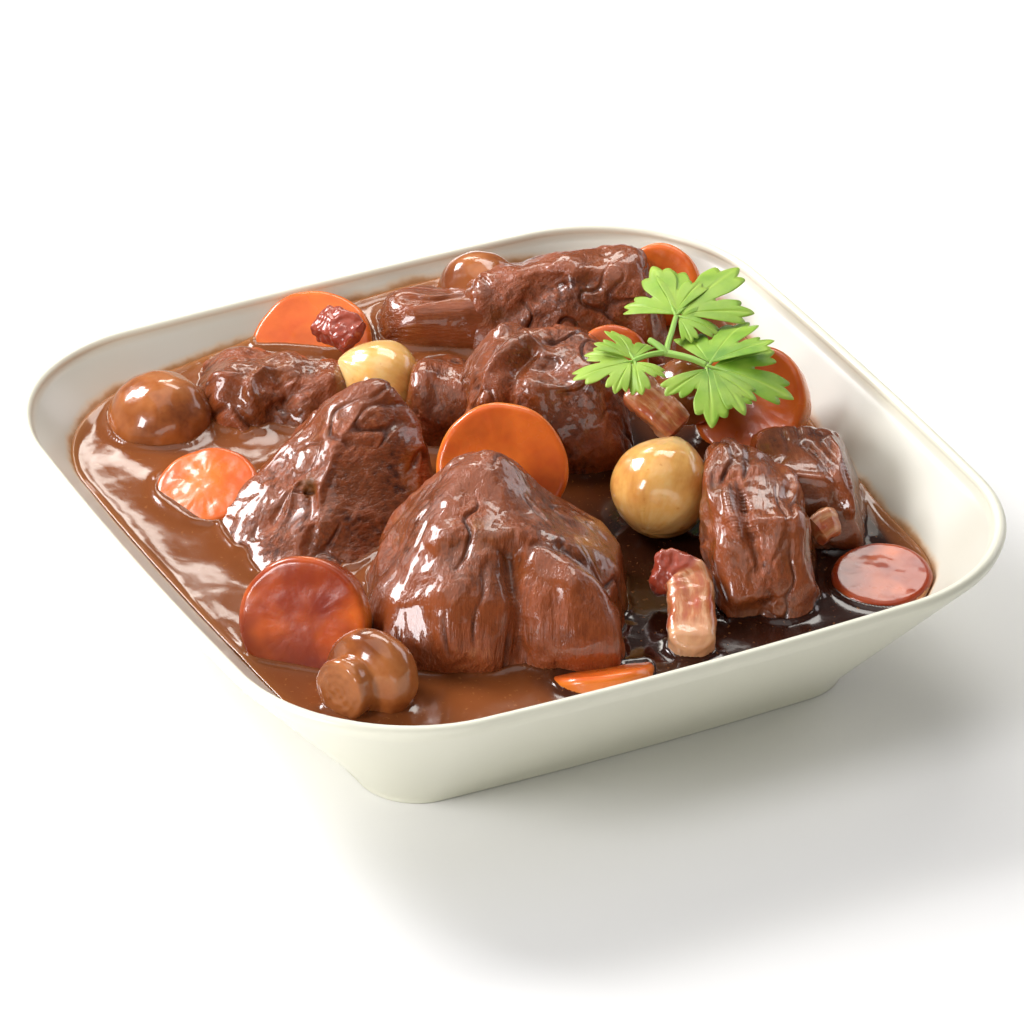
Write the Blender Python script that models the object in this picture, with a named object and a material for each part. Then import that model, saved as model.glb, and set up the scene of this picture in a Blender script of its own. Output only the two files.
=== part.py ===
"""Beef stew in a rounded-square porcelain bowl.

The bowl, the sauce and every piece of beef, carrot, mushroom, onion, bacon and herb is a closed solid.
Z is up, the origin is the middle of the bowl's underside, and lengths in the tables are millimetres.
Directions are (heading, rise) in degrees: heading is counted from +X towards +Y, rise is above level.
"""

import math

import bmesh
import bpy
import numpy as np
from mathutils import Vector

# ---------------------------------------------------------------- sizes
MM = 0.001
GAP = 0.45                  # growth of a piece that cuts its neighbour, so that solids never touch
HOLLOW_GAP = 1.4            # growth of a chunk of beef that cuts the sauce
HOLLOW_DETAIL = 0.65        # share of the chunk's triangles kept in its hollow
CHUNK_DETAIL = 0.55         # share of an even ball's triangles kept in a chunk of beef

BOWL_HEIGHT = 45.2
RIM_HALF_SIDE = 100.0       # the bowl is 200 mm across, side to side
LIP_RADIUS = 1.36           # the rolled lip is 2.7 mm thick
LIP_CORNER_LIFT = 0.5       # the rim's corners stand slightly high
SIDE_BOW = 1.1              # the sides bow out in the middle
FOOT_HALF_SIDE = 64.3
FOOT_CORNER_RADIUS = 15.4
RIM_CORNER_RADIUS = 45.8
FOOT_RIM_WIDTH = 4.0
FOOT_RECESS = 1.4
FLOOR_HEIGHT = 5.0
LIP_CENTRE_HEIGHT = BOWL_HEIGHT - LIP_RADIUS - LIP_CORNER_LIFT
WALL_TOP = LIP_CENTRE_HEIGHT - LIP_RADIUS * 1.2         # the outer wall meets the lip here
WALL_TOP_HALF_SIDE = RIM_HALF_SIDE - LIP_RADIUS * 0.35
INSIDE_TOP = LIP_CENTRE_HEIGHT - LIP_RADIUS * 1.35      # and the inner wall here
FOOT_TURN = 2.0             # the wall turns out of the foot over about this height, then leans straight
WALL_AT_FLOOR = 4.6         # thickness of the wall, measured level
WALL_AT_LIP = 3.4
FLOOR_TURN_WIDTH = 11.0     # inside, floor and wall meet in a quarter of an oval
FLOOR_TURN_HEIGHT = 8.0
WALL_STEPS = 6              # steps of the wall's profile, closer together towards the foot

SAUCE_FRONT_LEVEL = 28.0    # the heap of food holds the sauce higher towards the back
SAUCE_BACK_RISE = 7.0
SAUCE_BACK_CREEP = 4.6

# ---------------------------------------------------------------- materials


def material(name, colour, roughness):
    made = bpy.data.materials.new(name)
    made.use_nodes = True
    shader = made.node_tree.nodes["Principled BSDF"]
    shader.inputs["Base Color"].default_value = (*colour, 1.0)
    shader.inputs["Roughness"].default_value = roughness
    return made


for old in list(bpy.data.objects):
    bpy.data.objects.remove(old)

PORCELAIN = material("porcelain", (0.80, 0.78, 0.74), 0.15)
GRAVY = material("gravy", (0.10, 0.035, 0.012), 0.15)
BEEF = material("braised_beef", (0.17, 0.060, 0.025), 0.30)
CARROT = material("cooked_carrot", (0.70, 0.16, 0.02), 0.25)
MUSHROOM = material("cooked_mushroom", (0.40, 0.18, 0.07), 0.25)
ONION = material("cooked_onion", (0.60, 0.36, 0.12), 0.20)
BACON = material("cooked_bacon", (0.50, 0.17, 0.09), 0.30)
PARSLEY = material("parsley", (0.16, 0.42, 0.06), 0.45)

# ---------------------------------------------------------------- shape functions


def smooth_step(value, low, high):
    share = min(1.0, max(0.0, (value - low) / (high - low)))
    return share * share * (3.0 - 2.0 * share)


def heading(degrees, rise=0.0):
    a, e = math.radians(degrees), math.radians(rise)
    return np.array((math.cos(a) * math.cos(e), math.sin(a) * math.cos(e), math.sin(e)))


def make_object(name, points, faces, surface):
    mesh = bpy.data.meshes.new(name)
    mesh.from_pydata([tuple(float(c) * MM for c in p) for p in points], [], faces)
    mesh.materials.append(surface)
    thing = bpy.data.objects.new(name, mesh)
    bpy.context.scene.collection.objects.link(thing)
    return thing


def rounded_square(half, side_steps=2, corner_steps=5):
    """Plan points of one ring of the bowl, anticlockwise from the middle of its +X side."""
    share = (half - FOOT_HALF_SIDE) / (RIM_HALF_SIDE - FOOT_HALF_SIDE)
    radius = max(8.0, FOOT_CORNER_RADIUS + (RIM_CORNER_RADIUS - FOOT_CORNER_RADIUS) * share)
    radius = min(radius, half * 0.6)
    corner = half - radius
    quarter = []
    for i in range(side_steps):
        t = i / side_steps
        quarter.append((half - SIDE_BOW * t * t, corner * t))
    for i in range(corner_steps):
        a = 0.5 * math.pi * i / corner_steps
        quarter.append((corner + (radius - SIDE_BOW) * math.cos(a), corner + (radius - SIDE_BOW) * math.sin(a)))
    for i in range(side_steps):
        t = 1.0 - i / side_steps
        quarter.append((corner * t, half - SIDE_BOW * t * t))
    ring = []
    for turn in range(4):
        c, s = (1, 0, -1, 0)[turn], (0, 1, 0, -1)[turn]
        ring += [(x * c - y * s, x * s + y * c) for x, y in quarter]
    return ring


def loft(rings):
    """One closed skin through rings of points, with a middle point on the first and the last ring."""
    points, faces = [], []
    count = len(rings[0])
    for ring in rings:
        points += [tuple(p) for p in ring]
    for r in range(len(rings) - 1):
        for i in range(count):
            j = (i + 1) % count
            faces.append((r * count + i, r * count + j, (r + 1) * count + j, (r + 1) * count + i))
    for r, flip in ((0, True), (len(rings) - 1, False)):
        points.append(tuple(np.mean(np.array(rings[r]), axis=0)))
        middle = len(points) - 1
        for i in range(count):
            a, b = r * count + i, r * count + (i + 1) % count
            faces.append((middle, b, a) if flip else (middle, a, b))
    return points, faces


def bowl_ring(half, height):
    ring = []
    for x, y in rounded_square(half):
        diagonal = 2.0 * min(abs(x), abs(y)) / (abs(x) + abs(y))
        lift = LIP_CORNER_LIFT * diagonal**2 * smooth_step(height, 10.0, BOWL_HEIGHT)
        ring.append((x, y, height + lift))
    return ring


def lean(height):
    """How far out the wall has come at a height, where it turns out of the foot and then leans straight."""
    return math.hypot(height, FOOT_TURN) - FOOT_TURN


def outside_half(height):
    return FOOT_HALF_SIDE + (WALL_TOP_HALF_SIDE - FOOT_HALF_SIDE) * lean(height) / lean(WALL_TOP)


def inside_half(height):
    """The outside less the wall's thickness, and less the turn into the floor."""
    share = (height - FLOOR_HEIGHT) / (INSIDE_TOP - FLOOR_HEIGHT)
    thickness = WALL_AT_FLOOR + (WALL_AT_LIP - WALL_AT_FLOOR) * share
    up = min(1.0, max(0.0, (height - FLOOR_HEIGHT) / FLOOR_TURN_HEIGHT))
    turn = FLOOR_TURN_WIDTH * (1.0 - math.sqrt(1.0 - (1.0 - up) ** 2))
    return outside_half(height) - thickness - turn


WALL_INSIDE = []
for step in range(WALL_STEPS + 1):
    ring_height = FLOOR_HEIGHT + (INSIDE_TOP - FLOOR_HEIGHT) * (step / WALL_STEPS) ** 1.6
    WALL_INSIDE.append((ring_height, inside_half(ring_height)))


def sauce_level(x, y):
    slope = SAUCE_BACK_RISE * smooth_step(y, -40.0, 80.0) * (0.88 + 0.22 * x / 90.0)
    creep = SAUCE_BACK_CREEP * smooth_step(y, 40.0, 95.0) * math.exp(-(((x - 20.0) / 60.0) ** 2))
    return SAUCE_FRONT_LEVEL + slope + creep


def ball(detail):
    """Directions and faces of an even ball of triangles."""
    made = bmesh.new()
    bmesh.ops.create_icosphere(made, subdivisions=detail, radius=1.0)
    points = np.array([v.co[:] for v in made.verts])
    faces = [tuple(v.index for v in f.verts) for f in made.faces]
    made.free()
    return points, faces


def chunk(middle, sides, crisp=7.0, swells=(), keep=CHUNK_DETAIL):
    """A rounded chunk: what is left inside its sides, each (heading, rise, distance from the middle).

    A swell, (heading, rise, spread in degrees, share), raises or hollows the surface around one direction.
    """
    normals = np.array([heading(a, e) for a, e, _ in sides])
    far = np.array([d for _, _, d in sides])

    def reach(directions):
        pressed = np.clip(directions @ normals.T / far, 0.0, None)
        size = (pressed**crisp).sum(axis=1) ** (-1.0 / crisp)
        for a, e, spread, share in swells:
            angle = np.degrees(np.arccos(np.clip(directions @ heading(a, e), -1.0, 1.0)))
            size = size * (1.0 + share * np.exp(-((angle / spread) ** 2)))
        return size

    around, faces = ball(3)
    first = around * reach(around)[:, None]
    spread_of, axes = np.linalg.eigh(np.cov(first.T))
    stretched = around @ (axes * np.sqrt(spread_of)) @ axes.T
    directions = stretched / np.linalg.norm(stretched, axis=1)[:, None]
    return lighter(directions * reach(directions)[:, None] + np.array(middle), faces, keep)


def turned(middle, axis, profile, segments=16, squash=1.0):
    """A shape turned about its axis from (distance along, radius) pairs; both ends lie on the axis."""
    along = heading(*axis)
    side = np.cross(along, (0.0, 0.0, 1.0)) if abs(along[2]) < 0.9 else np.cross(along, (0.0, 1.0, 0.0))
    side = side / np.linalg.norm(side)
    up = np.cross(side, along)
    rings = []
    for distance, radius in profile[1:-1]:
        ring = []
        for i in range(segments):
            a = 2.0 * math.pi * i / segments
            out = side * math.cos(a) * squash + up * math.sin(a)
            ring.append(np.array(middle) + along * distance + out * radius)
        rings.append(ring)
    points, faces = loft(rings)
    points[-2] = tuple(np.array(middle) + along * profile[0][0])
    points[-1] = tuple(np.array(middle) + along * profile[-1][0])
    return np.array(points), faces


def resized(profile, share):
    return tuple((distance * share, radius * share) for distance, radius in profile)


def slice_of_carrot(middle, axis, radius, thickness, narrow=0.94):
    """A round slice with softened edges; the back face is a little smaller, as a carrot tapers."""
    edge = min(1.6, thickness * 0.3)
    back, half = radius * narrow, thickness * 0.5
    profile = (
        (-half, 0.0), (-half, back - edge), (-half + edge, back),
        (half - edge, radius), (half, radius - edge), (half, 0.0),
    )
    return turned(middle, axis, profile, segments=18)


def bar(route, width, depth, faces_to):
    """A strip with softened edges along a route; its depth is measured towards faces_to."""
    route = np.array(route, float)
    ahead = np.gradient(route, axis=0)
    ahead = ahead / np.linalg.norm(ahead, axis=1)[:, None]
    towards = heading(*faces_to)
    rings = []
    soft = 0.22
    section = []
    for x, y in ((1, -1), (1, 1), (-1, 1), (-1, -1)):
        first, second = ((x * 0.5, y * (0.5 - soft)), (x * (0.5 - soft), y * 0.5))
        section += (first, second) if x * y > 0 else (second, first)
    shares = (0.72,) + (1.0,) * (len(route) - 2) + (0.72,)
    for place, along, share in zip(route, ahead, shares):
        across = np.cross(along, towards)
        across = across / np.linalg.norm(across)
        up = np.cross(across, along)
        rings.append([place + (across * x * width + up * y * depth) * share for x, y in section])
    points, faces = loft(rings)
    return np.array(points), faces


def facing_out(points, faces):
    """The same closed skin with its faces turned outwards, as triangles."""
    made = bmesh.new()
    corners = [made.verts.new(tuple(p)) for p in points]
    for face in faces:
        made.faces.new([corners[i] for i in face])
    bmesh.ops.triangulate(made, faces=made.faces[:])
    bmesh.ops.recalc_face_normals(made, faces=made.faces[:])
    made.normal_update()
    if made.calc_volume(signed=True) < 0:
        bmesh.ops.reverse_faces(made, faces=made.faces[:])
        made.normal_update()
    found = np.array([v.co[:] for v in made.verts])
    normals = np.array([v.normal[:] for v in made.verts])
    tidy = [tuple(v.index for v in f.verts) for f in made.faces]
    made.free()
    return found, tidy, normals


def lighter(points, faces, share):
    """The same skin with fewer triangles where it is nearly flat."""
    thing = make_object("lighter", points, faces, BEEF)
    step = thing.modifiers.new("lighter", "DECIMATE")
    step.ratio = share
    apply_modifiers(thing)
    found = np.array([v.co[:] for v in thing.data.vertices]) / MM
    tidy = [tuple(f.vertices) for f in thing.data.polygons]
    bpy.data.objects.remove(thing)
    return found, tidy


def apply_modifiers(thing):
    """Keeps what the modifiers make as the object's own mesh."""
    graph = bpy.context.evaluated_depsgraph_get()
    made = bpy.data.meshes.new_from_object(thing.evaluated_get(graph))
    thing.modifiers.clear()
    thing.data = made


def join_or_cut(thing, tool, operation):
    step = thing.modifiers.new(operation.lower(), "BOOLEAN")
    step.operation = operation
    step.solver = "EXACT"
    step.object = tool
    apply_modifiers(thing)
    bpy.data.objects.remove(tool)


# ---------------------------------------------------------------- bowl

outside = [bowl_ring(FOOT_HALF_SIDE - FOOT_RIM_WIDTH - 1.0, FOOT_RECESS), bowl_ring(FOOT_HALF_SIDE - FOOT_RIM_WIDTH, 0.0)]
outside.append(bowl_ring(FOOT_HALF_SIDE - 0.8, 0.0))
for step in range(1, WALL_STEPS + 1):
    ring_height = WALL_TOP * (step / WALL_STEPS) ** 2
    outside.append(bowl_ring(outside_half(ring_height), ring_height))
lip_half = RIM_HALF_SIDE - LIP_RADIUS
for turn in (-20, 35, 90, 145, 200):
    a = math.radians(turn)
    outside.append(bowl_ring(lip_half + LIP_RADIUS * math.cos(a), LIP_CENTRE_HEIGHT + LIP_RADIUS * math.sin(a)))
inside = [bowl_ring(half, height) for height, half in reversed(WALL_INSIDE)]
skin, skin_faces, _ = facing_out(*loft(outside + inside))
bowl = make_object("bowl", skin, skin_faces, PORCELAIN)

# ---------------------------------------------------------------- sauce

WALL_GAP = 0.4
SAUCE_BEND_HEIGHT = 30.0    # a ring under the edge keeps the sauce along the wall
SAUCE_TURN_TOP = 20.0       # below this the sauce follows the wall's turn ring by ring


def sauce_edge():
    """The ring where the sauce meets the wall, found by stepping up and down the wall's slope."""
    edge = []
    for i, (x, y) in enumerate(rounded_square(inside_half(30.0) - WALL_GAP)):
        for _ in range(4):
            x, y = rounded_square(inside_half(sauce_level(x, y)) - WALL_GAP)[i]
        edge.append((x, y, sauce_level(x, y)))
    return edge


sauce_rings = []
for height, half in WALL_INSIDE:
    if height < SAUCE_TURN_TOP:
        sauce_rings.append([(x, y, height + WALL_GAP) for x, y in rounded_square(half - WALL_GAP)])
bend = []
for i, (_, _, level) in enumerate(sauce_edge()):
    height = min(SAUCE_BEND_HEIGHT, level - 2.0)
    bend.append((*rounded_square(inside_half(height) - WALL_GAP)[i], height))
sauce_rings += [bend, sauce_edge()]
for shrink in (0.80, 0.58, 0.36, 0.15):
    sauce_rings.append([(x * shrink, y * shrink, sauce_level(x * shrink, y * shrink)) for x, y, _ in sauce_edge()])
pool, pool_faces, _ = facing_out(*loft(sauce_rings))
sauce = make_object("sauce", pool, pool_faces, GRAVY)

# ---------------------------------------------------------------- pieces
# Each entry is a shape function's result and its material. Earlier pieces keep their whole shape,
# and later ones are cut back where they press against an earlier one.

PIECES = {}


def piece(name, surface, shape):
    PIECES[name] = (surface, facing_out(*shape))


# round slices of carrot: middle, axis, radius, thickness
piece("carrot_left", CARROT, slice_of_carrot((-60.5, 38.5, 30.5), (205.0, 70.0), 12.8, 9.0))
piece("carrot_back_left", CARROT, slice_of_carrot((-10.5, 84.0, 34.5), (235.0, 55.0), 15.0, 8.0))
piece("carrot_front_left", CARROT, slice_of_carrot((-66.8, -28.5, 35.0), (226.0, 26.0), 15.4, 11.0))
piece("carrot_middle", CARROT, slice_of_carrot((1.7, 5.5, 39.5), (242.0, 32.0), 15.8, 9.0))
piece("carrot_back_right", CARROT, slice_of_carrot((75.5, 62.5, 42.0), (225.0, 35.0), 10.5, 8.0))
piece("carrot_under_sprig", CARROT, slice_of_carrot((43.4, 28.5, 46.0), (242.0, 45.0), 9.2, 7.0))
piece("carrot_right_wall", CARROT, slice_of_carrot((71.6, 7.7, 38.0), (215.0, 38.0), 14.6, 9.0))
piece("carrot_right_corner", CARROT, slice_of_carrot((67.5, -63.0, 26.5), (240.0, 82.0), 12.0, 9.0))
piece("carrot_front", CARROT, slice_of_carrot((-11.0, -69.5, 24.5), (80.0, 65.0), 12.8, 8.0))

# mushrooms: cap, or cap and stem, turned together
CAP = (
    (-9.0, 0.0), (-8.6, 4.0), (-8.0, 10.0), (-5.0, 12.6), (-0.5, 12.9), (4.0, 11.2),
    (7.8, 7.6), (9.6, 3.6), (10.0, 0.0),
)
CAP_AND_STEM = (
    (-13.0, 0.0), (-13.0, 6.0), (-12.0, 7.4), (-7.6, 7.0), (-6.4, 9.0), (-4.6, 11.0), (-0.8, 11.6),
    (3.6, 9.8), (6.8, 6.0), (7.8, 2.6), (8.0, 0.0),
)
piece("mushroom_left", MUSHROOM, turned((-59.0, 72.0, 35.0), (185.0, 70.0), CAP, 14))
piece("mushroom_front", MUSHROOM, turned((-61.5, -53.0, 32.0), (21.0, -8.0), CAP_AND_STEM, 14))
piece("mushroom_back", MUSHROOM, turned((34.4, 82.6, 42.0), (230.0, 60.0), resized(CAP, 0.78), 12))
piece("mushroom_under_sprig", MUSHROOM, turned((56.3, 12.9, 43.5), (250.0, 45.0), resized(CAP, 0.65), 12))

# pearl onions: rounded at the base, drawn in towards the top
PEARL = (
    (-11.5, 0.0), (-10.6, 4.8), (-7.4, 9.2), (-2.6, 11.9), (2.4, 12.1), (6.8, 10.1),
    (10.4, 6.6), (12.8, 3.2), (14.0, 0.0),
)
piece("onion_right", ONION, turned((30.6, -20.5, 40.0), (40.0, 38.0), PEARL, 14))
piece("onion_back_left", ONION, turned((-5.0, 57.5, 38.0), (150.0, 30.0), resized(PEARL, 0.85), 14))

# bacon strips: route, width, depth
piece("bacon_back_left", BACON, bar(((-10, 80, 44.5), (-8.5, 75, 45.5), (-5.5, 69.5, 44)), 9, 5.5, (230, 60)))
piece("bacon_middle_right", BACON, bar(((39, 9.8, 50), (40.6, 4, 49), (42.2, -1, 47), (44.4, -4, 44)), 9, 6.0, (242, 50)))
piece("bacon_right", BACON, bar(((56, -50, 37.5), (59.5, -49, 38.3), (62, -47.5, 37.0)), 7, 5.0, (242, 40)))
piece("bacon_front_right", BACON, bar(((14, -47.5, 37), (19.5, -53, 36.5), (17, -61, 33.5), (10.5, -73, 29)), 11, 8, (242, 40)))

# beef: middle, sides (heading, rise, distance), crispness, swells
piece("beef_front", BEEF, chunk(
    (-20.0, -33.0, 31.0),
    ((242, -20, 30), (242, 30, 27), (242, 62, 22), (62, 55, 32), (62, -10, 22), (153, 5, 31),
     (153, 50, 27), (333, 5, 31), (333, 58, 23), (0, -90, 20)),
    8.0,
    ((225, 30, 28, 0.06), (265, 35, 24, 0.06), (74, 46, 20, 0.18), (332, 35, 25, 0.05)),
))
piece("beef_left", BEEF, chunk(
    (-40.0, 18.5, 31.0),
    ((182, 60, 12), (283, 48, 13), (62, 50, 28), (62, -10, 24), (153, 0, 26), (242, 0, 33),
     (242, -30, 29), (333, 10, 27), (0, -90, 20)),
    9.0,
    ((42, 44, 22, 0.24),),
))
piece("beef_right", BEEF, chunk(
    (45.0, -42.5, 33.0),
    ((242, 0, 26), (242, 45, 20), (62, 55, 27), (62, 0, 20), (153, 0, 12.5), (333, 10, 13), (0, 90, 16), (0, -90, 18)),
    7.0,
    ((86, 40, 24, 0.30), (225, 5, 20, 0.05)),
))
piece("beef_middle", BEEF, chunk(
    (25.3, 30.0, 36.0),
    ((62, 58, 24), (62, 0, 17), (242, 30, 22), (242, -10, 22), (153, 8, 20), (333, 8, 20), (0, 90, 22), (0, -90, 22)),
    6.0,
))
piece("beef_right_back", BEEF, chunk(
    (66.7, -30.0, 33.0),
    ((62, 58, 20), (62, 0, 17), (242, 20, 15), (242, -10, 16), (153, 5, 13), (333, 20, 13), (0, 90, 15), (0, -90, 18)),
    6.0,
))
piece("beef_back_left", BEEF, chunk(
    (-28.6, 67.7, 31.0),
    ((62, 58, 15), (62, 0, 15), (242, 30, 13), (242, 0, 15), (153, 8, 18), (333, 8, 17), (0, 90, 13), (0, -90, 16)),
    5.0,
    keep=0.45,
))
piece("beef_small_middle", BEEF, chunk(
    (3.1, 44.4, 40.0),
    ((62, 58, 8), (242, 30, 8), (153, 0, 7), (333, 0, 9), (0, -90, 12), (0, 90, 8)),
    4.0,
    keep=0.35,
))
piece("beef_back", BEEF, chunk(
    (51.6, 63.4, 38.0),
    ((85, 57, 18), (62, 0, 14), (242, 35, 14), (242, 0, 15), (153, 5, 23), (333, 15, 22), (0, 90, 19), (0, -90, 16)),
    7.0,
))
piece("beef_back_roll", BEEF, chunk(
    (20.3, 75.6, 40.0),
    ((62, 60, 10), (62, 0, 9), (242, 30, 9), (242, 0, 10), (153, 10, 14), (333, 10, 16), (0, 90, 9), (0, -90, 12)),
    5.0,
    keep=0.40,
))

# parsley: stems that fork from one point, and toothed leaflets (foot, tip)
STEM_RADIUS = 0.9
LEAF_THICKNESS = 1.0
LEAFLET_STALK = 0.8
FORK = (45.1, 4.7, 61.0)
LEFT_FORK = (37.2, 6.2, 60.0)
TOP_FORK = (53.8, 15.8, 63.0)
RIGHT_FORK = (51.8, -3.6, 60.0)
STEMS = (
    (FORK, LEFT_FORK),
    (FORK, TOP_FORK),
    (FORK, RIGHT_FORK),
    (FORK, (43.0, 9.6, 62.5)),
)
LEAFLETS = (
    (LEFT_FORK, (38.6, 20.7, 61.0)),
    (LEFT_FORK, (20.4, 7.6, 57.0)),
    (LEFT_FORK, (34.0, -4.6, 56.0)),
    (TOP_FORK, (57.8, 35.6, 65.0)),
    (TOP_FORK, (76.5, 25.6, 66.0)),
    (TOP_FORK, (62.0, 6.0, 60.5)),
    (RIGHT_FORK, (70.5, 10.1, 62.0)),
    (RIGHT_FORK, (69.2, -20.2, 55.0)),
    (RIGHT_FORK, (43.4, -21.9, 55.0)),
)


def stem(start, end):
    start, end = np.array(start), np.array(end)
    along = (end - start) / np.linalg.norm(end - start)
    profile = ((-0.6, 0.0), (-0.6, STEM_RADIUS), (np.linalg.norm(end - start) + 0.6, STEM_RADIUS * 0.85))
    profile += ((profile[-1][0] + 0.01, 0.0),)
    rise = math.degrees(math.asin(along[2]))
    return turned(start, (math.degrees(math.atan2(along[1], along[0])), rise), profile, segments=6)


def leaflet(foot, tip):
    """A plate with three pointed lobes that fan out from its foot."""
    foot, tip = np.array(foot), np.array(tip)
    along = (tip - foot) / np.linalg.norm(tip - foot)
    foot = foot + along * LEAFLET_STALK
    length = np.linalg.norm(tip - foot)
    across = np.cross((0.0, 0.0, 1.0), along)
    across = across / np.linalg.norm(across)
    up = np.cross(along, across)
    outline = [(-0.06, 0.0)]
    for turn, share in ((-56, 0.66), (-31, 0.50), (-14, 0.84), (0, 1.0), (14, 0.84), (31, 0.50), (56, 0.66)):
        outline.append((share * math.cos(math.radians(turn)), share * math.sin(math.radians(turn))))
    rings = []
    for side in (-0.5, 0.5):
        rings.append([foot + along * a * length + across * b * length + up * side * LEAF_THICKNESS for a, b in outline])
    points, faces = loft(rings)
    for which, side in ((-2, -0.5), (-1, 0.5)):
        points[which] = tuple(foot + along * 0.15 * length + up * side * LEAF_THICKNESS)
    return np.array(points), faces


ORDER = list(PIECES)
for name in ORDER:
    surface, (points, faces, _) = PIECES[name]
    make_object(name, points, faces, surface)


def boxes_meet(first, second):
    a, b = PIECES[first][1][0], PIECES[second][1][0]
    return bool(np.all(a.min(axis=0) - 1.0 < b.max(axis=0)) and np.all(b.min(axis=0) - 1.0 < a.max(axis=0)))


def cutter_of(name):
    surface, (points, faces, normals) = PIECES[name]
    return make_object("cutter", points + normals * GAP, faces, surface)


def hollow_of(name):
    """What a piece presses out of the sauce. Round a chunk it is wider than the chunk, with fewer triangles."""
    surface, (points, faces, normals) = PIECES[name]
    if surface is not BEEF:
        return cutter_of(name)
    return make_object("hollow", *lighter(points + normals * HOLLOW_GAP, faces, HOLLOW_DETAIL), surface)


def inside_of_bowl():
    """The space inside the bowl, a little smaller than its wall; it stands above the rim."""
    rings = [[(x, y, height + WALL_GAP) for x, y in rounded_square(half - WALL_GAP)] for height, half in WALL_INSIDE]
    rings.append([(x, y, 90.0) for x, y in rounded_square(WALL_INSIDE[-1][1] - WALL_GAP)])
    points, faces, _ = facing_out(*loft(rings))
    return make_object("inside_of_bowl", points, faces, PORCELAIN)


def leans_on_wall(name):
    points = PIECES[name][1][0]
    return any(max(abs(x), abs(y)) > inside_half(z) - 1.0 or math.hypot(x, y) > inside_half(z) * 1.12 for x, y, z in points)


for i, name in enumerate(ORDER):
    if leans_on_wall(name):
        join_or_cut(bpy.data.objects[name], inside_of_bowl(), "INTERSECT")
    for earlier in ORDER[:i]:
        if boxes_meet(name, earlier):
            join_or_cut(bpy.data.objects[name], cutter_of(earlier), "DIFFERENCE")
    join_or_cut(sauce, hollow_of(name), "DIFFERENCE")

skin, skin_faces, _ = facing_out(*stem(*STEMS[0]))
sprig = make_object("parsley_sprig", skin, skin_faces, PARSLEY)
for shape in [stem(*ends) for ends in STEMS[1:]] + [leaflet(*ends) for ends in LEAFLETS]:
    skin, skin_faces, _ = facing_out(*shape)
    join_or_cut(sprig, make_object("part_of_sprig", skin, skin_faces, PARSLEY), "UNION")
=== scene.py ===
"""Beef stew in a rounded-square porcelain bowl: the finished looks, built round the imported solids.

Lengths in the tables are millimetres. Directions are (heading, rise) in degrees: heading is counted
from +X towards +Y, and rise is above level.
"""

import math

import bmesh
import bpy
import numpy as np
from mathutils import Matrix, Quaternion, Vector
from mathutils.bvhtree import BVHTree


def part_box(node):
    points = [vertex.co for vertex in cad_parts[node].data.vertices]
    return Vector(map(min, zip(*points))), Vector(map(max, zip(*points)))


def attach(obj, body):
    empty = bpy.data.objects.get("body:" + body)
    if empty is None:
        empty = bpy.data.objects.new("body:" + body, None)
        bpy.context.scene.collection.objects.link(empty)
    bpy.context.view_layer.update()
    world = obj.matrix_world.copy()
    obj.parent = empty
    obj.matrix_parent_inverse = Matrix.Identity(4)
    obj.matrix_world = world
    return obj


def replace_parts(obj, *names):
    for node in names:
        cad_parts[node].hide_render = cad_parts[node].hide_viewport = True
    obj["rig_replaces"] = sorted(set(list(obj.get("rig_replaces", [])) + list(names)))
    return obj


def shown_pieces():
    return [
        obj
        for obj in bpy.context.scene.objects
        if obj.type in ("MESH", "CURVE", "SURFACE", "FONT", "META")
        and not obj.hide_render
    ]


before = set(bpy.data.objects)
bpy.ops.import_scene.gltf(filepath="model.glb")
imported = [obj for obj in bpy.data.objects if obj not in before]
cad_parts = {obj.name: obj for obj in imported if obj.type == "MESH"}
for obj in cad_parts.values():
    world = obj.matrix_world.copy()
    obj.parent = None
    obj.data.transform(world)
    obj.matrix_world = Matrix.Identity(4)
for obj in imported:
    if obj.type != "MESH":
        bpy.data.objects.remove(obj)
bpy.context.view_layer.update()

# ---------------------------------------------------------------- bowl
# A thin-walled dish of white glazed porcelain, pressed in one piece and fired on its foot ring.
# It is one skin through rings that run from the foot, up the outside, over the lip and down inside.

MM = 0.001
LIP_RADIUS = 1.36
LIP_CORNER_LIFT = 0.5
SIDE_BOW = 1.1
FOOT_HALF_SIDE, FOOT_CORNER_RADIUS = 64.3, 15.4
RIM_HALF_SIDE, RIM_CORNER_RADIUS = 100.0, 45.8
FOOT_RIM_WIDTH, FOOT_RECESS = 4.0, 1.4
BOWL_HEIGHT = 45.2
LIP_CENTRE_HEIGHT = BOWL_HEIGHT - LIP_RADIUS - LIP_CORNER_LIFT
WALL_TOP, WALL_TOP_HALF_SIDE = LIP_CENTRE_HEIGHT - LIP_RADIUS * 1.2, RIM_HALF_SIDE - LIP_RADIUS * 0.35
INSIDE_TOP = LIP_CENTRE_HEIGHT - LIP_RADIUS * 1.35
FLOOR_HEIGHT = 5.0
FOOT_TURN = 2.0            # the wall turns out of the foot over about this height, then leans straight
WALL_AT_FLOOR, WALL_AT_LIP = 4.6, 3.4
FLOOR_TURN_WIDTH, FLOOR_TURN_HEIGHT = 11.0, 8.0


def smooth_step(value, low, high):
    share = np.clip((value - low) / (high - low), 0.0, 1.0)
    return share * share * (3.0 - 2.0 * share)


def heading(degrees, rise=0.0):
    a, e = math.radians(degrees), math.radians(rise)
    return np.array((math.cos(a) * math.cos(e), math.sin(a) * math.cos(e), math.sin(e)))


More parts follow.
